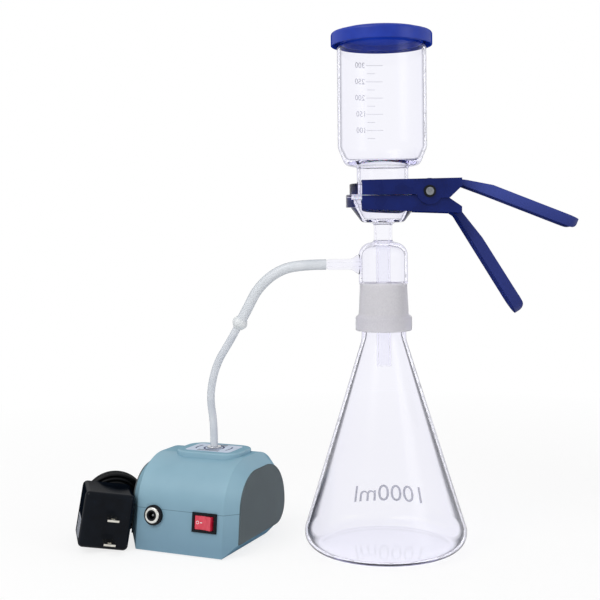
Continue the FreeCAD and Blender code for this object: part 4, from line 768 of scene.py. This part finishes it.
def wall_radius(part, height):
    """The outer radius of a round glass part at a height in millimetres."""
    mesh = bpy.data.objects[part].data
    corners, faces = [v.co for v in mesh.vertices], [p.vertices[:] for p in mesh.polygons]
    tree = BVHTree.FromPolygons(corners, faces)
    hit = tree.ray_cast(Vector((0, 0.2, height / 1000)), Vector((0, -1, 0)))[0]
    return hit.y * 1000


PRINT_PROUD, CUP_MIDDLE = 0.06, 376
WORDS_LOW, WORDS_HIGH = 30, 46
cup_radius = wall_radius("funnel", CUP_MIDDLE)
flask_low, flask_high = wall_radius("flask", WORDS_LOW), wall_radius("flask", WORDS_HIGH)
flask_slope = (flask_low - flask_high) / (WORDS_HIGH - WORDS_LOW)
print("cup radius", round(cup_radius, 2), "flask radius", round(flask_low, 2))

# %% Lines of the scale
back_wall = facing(ROW, (0, cup_radius + PRINT_PROUD, 0), (0, 1, 0), (0, 0, 1))
SCALE_TOP, SCALE_STEP = 404.1, 13.97
for title, start, long, lowest in (
    ("cup_scale_long", -3.7, 14.9, SCALE_TOP - 4 * SCALE_STEP),
    ("cup_scale_short", 3.2, 7.0, SCALE_TOP - 4.5 * SCALE_STEP),
):
    print_marks(
        title, back_wall @ stand((0, 0, lowest)), "base", "borosilicate_glass", PRINT_GREY,
        (long, 0.32, 0.08), count=5, pitch=SCALE_STEP, start=start, radius=cup_radius, segments=14,
    )


# %% Lettering
def lettering(words, thickness=0.08):
    """Flat words as one mesh, each with its text, height, left edge and foot in millimetres."""
    whole = bmesh.new()
    for text, height, left, foot in words:
        font = bpy.data.curves.new("word", "FONT")
        font.body, font.size, font.extrude = text, 10.0, 1.0
        font.resolution_u = 4
        word = add("word", font)
        mesh = plain_mesh(word)
        bpy.data.objects.remove(word)
        spots = [v.co for v in mesh.vertices]
        low = Vector([min(axis) for axis in zip(*spots)])
        grow_by = height / (max(spot.y for spot in spots) - low.y)
        for v in mesh.vertices:
            x, y, z = (v.co - low) * grow_by
            v.co = (left + x, foot + y, thickness * (0.5 if v.co.z > 0 else -0.5))
        whole.from_mesh(mesh)
        bpy.data.meshes.remove(mesh)
    bmesh.ops.remove_doubles(whole, verts=whole.verts, dist=0.001)
    return whole


def wrapped(name, flat, radius, slope, place, finish):
    """Bends flat words round a wall that narrows upwards by a slope, and puts them in place."""
    for v in flat.verts:
        x, up, out = v.co
        reach = radius - slope * up + out
        v.co = (-reach * math.sin(x / radius), reach * math.cos(x / radius) - radius, up)
    return as_piece(name, flat, place, finish)


# %% Numbers of the scale and the flask's size
NUMBER_HIGH, NUMBER_LEFT = 4.7, 12.4
words = [
    (text, NUMBER_HIGH, NUMBER_LEFT, SCALE_TOP - i * SCALE_STEP - NUMBER_HIGH / 2)
    for i, text in enumerate(("300", "250", "200", "150", "100"))
]
numbers = wrapped("cup_numbers", lettering(words), cup_radius, 0, back_wall, PRINT_GREY)
keep_piece(numbers, "base")
flask_wall = facing(ROW, (0, flask_low + PRINT_PROUD + 0.02, WORDS_LOW), (0, 1, 0), (0, 0, 1))
size_words = lettering([("1000ml", 15.5, -37.5, -8.0)], 0.1)
flask_size = wrapped("flask_size", size_words, flask_low, flask_slope, flask_wall, PRINT_GREY)
keep_piece(flask_size, "base")

# %% [markdown]
# ## Spring of the clamp
# The torsion spring is a wire wound round the rivet, with a straight leg against each lever. A
# spiral line with a round profile follows the same rule as the winding machine: turns, radius and
# pitch. The lower leg is drawn apart, because it turns with the lower lever and the coil with the
# upper one.


# %% Torsion spring
def spring_tree():
    """A wire wound at one radius, with a straight leg from each end of the coil."""
    inputs = {
        "Turns": "Float", "Radius": "Float", "Length": "Float", "Wire": "Float",
        "First Leg": "Vector", "Last Leg": "Vector", "Material": "Material",
    }
    tree, given, output = new_tree("torsion spring", inputs)
    radius, length = given["Radius"], given["Length"]
    coil = node(
        tree, "GeometryNodeCurveSpiral", {"Resolution": 24, "Reverse": True},
        {"Rotations": given["Turns"], "Start Radius": radius, "End Radius": radius,
         "Height": length},
    )
    first = node(tree, "CombineXYZ", None, {0: radius})
    across = node(tree, "Math", {"operation": "MULTIPLY", 1: -1.0}, {0: radius})
    last = node(tree, "CombineXYZ", None, {0: across, 2: length})
    lines = node(tree, "GeometryNodeJoinGeometry")
    tree.links.new(coil.outputs[0], lines.inputs[0])
    for start, end in ((first, given["First Leg"]), (last, given["Last Leg"])):
        leg = node(tree, "GeometryNodeCurvePrimitiveLine", None, {"Start": start, "End": end})
        tree.links.new(leg.outputs[0], lines.inputs[0])
    ring = node(
        tree, "GeometryNodeCurvePrimitiveCircle", {"Resolution": 12}, {"Radius": given["Wire"]}
    )
    bent = {"Curve": lines, "Profile Curve": ring}
    wire = node(tree, "GeometryNodeCurveToMesh", {"Fill Caps": True}, bent)
    close_tree(tree, output, wire, given["Material"])
    return tree


hinge = next(j for j in frame["joints"] if j["name"] == "clamp_open")
PIVOT = Vector(hinge["pos_m"]) * 1000
# the coil's own axis is z: turned so, z runs along the rivet towards the back and x points up
ALONG_RIVET = Matrix(((0, 1, 0, 0), (0, 0, 1, 0), (1, 0, 0, 0), (0, 0, 0, 1)))
spring_low, spring_high = (Vector(v) * 1000 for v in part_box("clamp_spring"))
WIRE_RADIUS, SPRING_RADIUS, SPRING_LONG, LEG_SHORT = 0.75, 3.05, 18.5, 0.4
leg_reach = spring_high.x - PIVOT.x - LEG_SHORT
spring_values = {
    "Turns": 11.5, "Radius": SPRING_RADIUS, "Length": SPRING_LONG, "Wire": WIRE_RADIUS,
    "First Leg": Vector((spring_high.z - WIRE_RADIUS - PIVOT.z, leg_reach, 0)),
    "Last Leg": Vector((-SPRING_RADIUS, 0.4, SPRING_LONG)),
    "Material": FINISHES["rivet_steel"],
}
COILED_WIRE = spring_tree()
spring_place = stand((PIVOT.x, -SPRING_LONG / 2, PIVOT.z)) @ ALONG_RIVET
spring = grow("torsion_spring", COILED_WIRE, spring_values, spring_place)
keep_piece(spring, "clamp_upper", ["clamp_spring"])

# %% Lower leg of the spring
leg_root = Vector((PIVOT.x, SPRING_LONG / 2 + 2 * WIRE_RADIUS, PIVOT.z - SPRING_RADIUS))
leg_tip = Vector((spring_high.x - LEG_SHORT, leg_root.y, spring_low.z + WIRE_RADIUS))
leg_line = leg_tip - leg_root
leg_place = stand(leg_root) @ leg_line.to_track_quat("Z", "Y").to_matrix().to_4x4()
leg_profile = [(0, 0), (WIRE_RADIUS, 0), (WIRE_RADIUS, leg_line.length), (0, leg_line.length)]
leg = turned("spring_leg", leg_profile, leg_place, FINISHES["rivet_steel"], 16)
keep_piece(leg, "clamp_lower")

# %% [markdown]
# ## Ends of the handles
# Each handle is a pressed strip with a lip along both edges. At the round end the press draws the
# lip round the curve and lets it run out towards the tip, so from the side the end looks like a
# leaf.


# %% Drawn-in lip round a handle's end
HALF_WIDE, SHEET, LIP_DEEP, END_STEPS = 13.0, 1.6, 9.0, 40


def handle_end(name, body, back, tip, inward):
    """A lip round the strip's half-circle end, deep at its sides, thin as the sheet at the tip."""
    back, tip = Vector((back[0], 0, back[1])), Vector((tip[0], 0, tip[1]))
    ahead = (tip - back).normalized()
    into = Vector((ahead.z, 0, -ahead.x)) * inward
    centre = tip - ahead * HALF_WIDE
    inner = HALF_WIDE - SHEET
    lip_stop = math.sqrt(HALF_WIDE**2 - inner**2)
    shape = bmesh.new()
    sections = []
    for i in range(END_STEPS + 1):
        turn = math.pi * (i / END_STEPS - 0.5)
        run_out = max(0.0, (HALF_WIDE * math.cos(turn) - lip_stop) / (HALF_WIDE - lip_stop))
        deep = SHEET + (LIP_DEEP - SHEET) * math.sqrt(max(0.0, 1 - run_out**2))
        corners = []
        for radius, depth in ((HALF_WIDE, 0), (HALF_WIDE, deep), (inner, deep), (inner, 0)):
            sideways = Vector((0, radius * math.sin(turn), 0))
            corners.append(
                shape.verts.new(centre + ahead * radius * math.cos(turn) + sideways + into * depth)
            )
        sections.append(corners)
    for one, other in zip(sections, sections[1:]):
        for k in range(4):
            shape.faces.new((one[k], other[k], other[(k + 1) % 4], one[(k + 1) % 4]))
    shape.faces.new(sections[0][::-1])
    shape.faces.new(sections[-1])
    made = as_piece(name, shape, ROW, FINISHES["blue_anodised"])
    keep_piece(made, body)


# each lever bends at a corner beside the rivet, and its handle's back and tip are told from there
for name, body, corner, back, tip, inward in (
    ("upper_handle_end", "clamp_upper", (26, 10.6), (28.5, -5.3), (100.8, -34.1), 1),
    ("lower_handle_end", "clamp_lower", (26, -17.3), (12.0, -24.8), (47.6, -83.1), -1),
):
    across, up = PIVOT.x + corner[0], PIVOT.z + corner[1]
    handle_end(name, body, (across + back[0], up + back[1]), (across + tip[0], up + tip[1]), inward)

# %% [markdown]
# ## Thread of the power socket
# The socket's barrel is screwed into its nut, and the last turns of its thread stand out of it. A
# thread is a helical ridge, so the wound wire serves again, half sunk into the barrel.

# %% Socket thread
BARREL, NUT_TOP, BARREL_TOP = 6.25, 2.8, 4.4
THREAD_LONG = BARREL_TOP - NUT_TOP - 0.6
thread_values = {
    "Turns": 2.5, "Radius": BARREL, "Length": THREAD_LONG, "Wire": 0.2,
    "First Leg": Vector((BARREL - 0.4, 0.6, 0)),
    "Last Leg": Vector((0.4 - BARREL, 0.6, THREAD_LONG)), "Material": FINISHES["jack_metal"],
}
thread = grow("socket_thread", COILED_WIRE, thread_values, JACK @ stand((0, 0, NUT_TOP + 0.25)))
keep_piece(thread, "base")

# %% [markdown]
# ## Insert of the power socket
# Inside the metal barrel sits a black insulating cup that holds the pin, a turned shape.


# %% Socket insert
insert_profile = [
    (0, -8.9), (3.15, -8.9), (3.15, 4.42), (4.5, 4.42), (4.4, 4.62), (3.1, 4.62), (2.9, 4.4),
    (2.9, -8.7), (0, -8.7),
]
insert = turned("socket_insert", insert_profile, JACK, FINISHES["black_washer"])
keep_piece(insert, "base")

# %% [markdown]
# ## Strain relief
# Where the lead leaves the adapter a tapered rubber boot keeps it from kinking. Ribs round the boot
# let it bend evenly: a cone with rings that shrink along it.


# %% Ribbed boot
def boot_tree():
    """A cone with rings that shrink along it."""
    inputs = {
        "Length": "Float", "Root Radius": "Float", "Tip Radius": "Float", "Ribs": "Int",
        "Rib": "Float", "Depth": "Float", "Material": "Material",
    }
    tree, given, output = new_tree("ribbed boot", inputs)
    take, length, rib = {"operation": "SUBTRACT"}, given["Length"], given["Rib"]
    root, tip = (
        node(tree, "Math", take, {0: given[name], 1: given["Depth"]})
        for name in ("Root Radius", "Tip Radius")
    )
    core = node(
        tree, "GeometryNodeMeshCone", {"Vertices": 32},
        {"Radius Top": tip, "Radius Bottom": root, "Depth": length},
    )
    last = node(tree, "Math", {**take, 1: 1.0}, {0: given["Ribs"]})
    gaps = node(tree, "Math", take, {0: length, 1: rib})
    pitch = node(tree, "Math", {"operation": "DIVIDE"}, {0: gaps, 1: last})
    half = node(tree, "Math", {"operation": "MULTIPLY", 1: 0.5}, {0: rib})
    begin, step = (node(tree, "CombineXYZ", None, {2: up}) for up in (half, pitch))
    line = node(
        tree, "GeometryNodeMeshLine", None,
        {"Count": given["Ribs"], "Start Location": begin, "Offset": step},
    )
    width = node(
        tree, "MapRange", None,
        {"Value": node(tree, "GeometryNodeInputIndex"), "From Max": last,
         "To Min": given["Root Radius"], "To Max": given["Tip Radius"]},
    )
    scale = node(tree, "CombineXYZ", {2: 1.0}, {0: width, 1: width})
    ring = node(tree, "GeometryNodeMeshCylinder", {"Vertices": 32, "Radius": 1.0}, {"Depth": rib})
    rings = node(
        tree, "GeometryNodeInstanceOnPoints", None,
        {"Points": line, "Instance": ring, "Scale": scale},
    )
    whole = node(tree, "GeometryNodeJoinGeometry")
    for part in (core, rings):
        tree.links.new(part.outputs[0], whole.inputs[0])
    close_tree(tree, output, whole, given["Material"])
    return tree


BOOT_SUNK, BOOT_LONG = 2.0, 24.5
boot_values = {
    "Length": BOOT_LONG + BOOT_SUNK, "Root Radius": 4.3, "Tip Radius": 2.6, "Ribs": 10, "Rib": 1.5,
    "Depth": 0.55, "Material": FINISHES["lead_jacket"],
}
boot_place = LEANING @ stand((8, 46 - BOOT_SUNK, 26), -90, "X")
boot = grow("lead_boot", boot_tree(), boot_values, boot_place)
keep_piece(boot, "base", ["strain_relief"])

# %% [markdown]
# ## Print on the pump, the switch and the adapter
# The switch has its ring and dash in white on the half that is pressed in. The labels carry plain
# rules and a ring where the hose comes through, with nothing to read on them.

# %% Marks of the switch
ROCKER_SLOPE = math.atan(1.7 / 7.9)
rocker_out = (math.sin(ROCKER_SLOPE), 0, math.cos(ROCKER_SLOPE))
ring_place = facing(ROCKER, (-5.6, 0, 3.94), rocker_out, (0, 1, 0))
off_ring = wrapped(
    "off_ring", lettering([("O", 2.6, -1.1, -1.3)], 0.12), FLAT, 0, ring_place, WHITE_PRINT
)
keep_piece(off_ring, "rocker")
dash_place = facing(ROCKER, (-2.1, 0, 3.17), rocker_out, (0, 1, 0))
print_marks("on_dash", dash_place, "rocker", "switch_red", WHITE_PRINT, (1.9, 0.6, 0.16))

# %% Rules on the labels
INK = solid("screen ink, slate", "#4d5274", "#5d6286", 2, (0.45, 0.55), 0.2, 0.01)
FINE_INK = solid("screen ink, grey", "#5f636b", "#71757d", 2, (0.45, 0.55), 0.2, 0.01)
LABEL_TOP, BARB = 76.8, (5.5, 53.75)
for title, long, low in (("label_rules_front", 20.0, -12.2), ("label_rules_back", 14.0, 9.6)):
    place = facing(PUMP, (BARB[0], BARB[1] + low, LABEL_TOP + 0.02), (0, 0, 1), (0, 1, 0))
    print_marks(
        title, place, "base", "label_print", FINE_INK, (long, 1.1, 0.06), count=2, pitch=2.6
    )
for title, radius, broad, share, turn in (
    ("label_ring", 8.4, 1.5, 1.0, 0),
    ("label_arc_right", 15.5, 1.2, 0.14, -90),
    ("label_arc_left", 15.5, 1.2, 0.14, 90),
):
    place = PUMP @ stand((*BARB, LABEL_TOP + 0.03), turn) @ stand((0, radius, 0))
    print_marks(
        title, place, "base", "label_print", INK, (2 * math.pi * radius * share, 0.06, broad),
        radius=radius, segments=48,
    )
place = facing(LEANING, (-20.72, 17.5, 8.6), (-1, 0, 0), (0, 0, 1))
print_marks(
    "adapter_rules", place, "base", "adapter_print", FINE_INK, (20.0, 1.0, 0.06), count=5, pitch=2.7
)

# %% [markdown]
# ## Table and light
# The table and the room are plain white. What the eye, a mirror or glass sees of them is white
# light of strength 1; the diffuse light that falls on the pieces comes from a large soft lamp at
# the upper left, a weaker one at the right and the room. Near the object the table keeps its soft
# shadow, further away it runs out into the white of the room.

# %% Table
TABLE_HALF, TABLE_TOP = 6.0, -0.0002
FADE_FROM, FADE_TO = 0.35, 0.9
NEAR_GLOW, SHADED_SHARE = 0.79, 0.28


def seen_directly(tree):
    """1 for what the eye sees, in a mirror and through glass too, and 0 for light on the pieces."""
    path = node(tree, "LightPath").outputs
    seen = path["Is Camera Ray"]
    for ray in ("Is Transmission Ray", "Is Glossy Ray"):
        seen = node(tree, "Math", {"operation": "MAXIMUM"}, {0: seen, 1: path[ray]})
    return seen


table = add("table", bpy.data.meshes.new("table"))
flat = bmesh.new()
bmesh.ops.create_grid(flat, x_segments=1, y_segments=1, size=TABLE_HALF)
flat.to_mesh(table.data)
flat.free()
table.location.z = TABLE_TOP
material, tree, output = blank("white table top")
place = node(tree, "TexCoord").outputs["Object"]
away = node(tree, "VectorMath", {"operation": "LENGTH"}, {0: place}).outputs["Value"]
fading = {"From Min": FADE_FROM, "From Max": FADE_TO}
fade = node(tree, "MapRange", fading, {"Value": away})
grain = shades(tree, speckle(tree, 3), "#f2f2f2", "#f7f7f7")
paper = node(tree, "BsdfDiffuse", None, {"Color": grain})
glow = node(tree, "Emission", {"Strength": NEAR_GLOW})
bright = node(tree, "Emission", {"Strength": 1.0})
black = node(tree, "BsdfDiffuse", {"Color": (0, 0, 0, 1)})
shaded = node(tree, "MixShader", {0: SHADED_SHARE}, {1: black, 2: paper})
near = node(tree, "AddShader", None, {0: shaded, 1: glow})
far = node(tree, "MixShader", None, {0: fade, 1: near, 2: bright})
final = node(tree, "MixShader", None, {0: seen_directly(tree), 1: paper, 2: far})
tree.links.new(final.outputs[0], output.inputs["Surface"])
table.data.materials.append(material)
print("table seen near the object at", NEAR_GLOW, "plus its lit share")

# %% Room and lamps
world = bpy.data.worlds.new("white room")
scene.world = world
world.use_nodes = True
tree = world.node_tree
tree.nodes.clear()
level = node(tree, "MapRange", {"To Min": 0.5, "To Max": 1.0}, {"Value": seen_directly(tree)})
room = node(tree, "Background", {"Color": (1, 1, 1, 1)}, {"Strength": level})
node(tree, "OutputWorld", None, {"Surface": room})


def softbox(name, place, aim, wide, power):
    """A square lamp in metres that points at a spot, brightest in the middle of its cloth."""
    light = bpy.data.lights.new(name, "AREA")
    light.shape, light.size, light.energy = "SQUARE", wide, power
    light.use_nodes = True
    tree = light.node_tree
    tree.nodes.clear()
    spot = node(tree, "NewGeometry").outputs["Parametric"]
    off_centre = node(
        tree, "VectorMath", {"operation": "DISTANCE", 1: (0.5, 0.5, 0)}, {0: spot}
    ).outputs["Value"]
    cloth = {
        "interpolation_type": "SMOOTHSTEP", "From Min": 0.08, "From Max": 0.5, "To Min": 2.6,
        "To Max": 0.0,
    }
    strength = node(tree, "MapRange", cloth, {"Value": off_centre})
    shine = node(tree, "Emission", None, {"Strength": strength})
    node(tree, "OutputLight", None, {"Surface": shine})
    lamp = add(name, light)
    lamp.location = place
    lamp.rotation_euler = (Vector(aim) - Vector(place)).to_track_quat("-Z", "Y").to_euler()


softbox("key lamp", (-1.0, -1.1, 1.5), (-0.08, 0, 0.15), 2.0, 19)
softbox("fill lamp", (1.2, -0.9, 0.7), (-0.05, 0, 0.15), 1.2, 4)
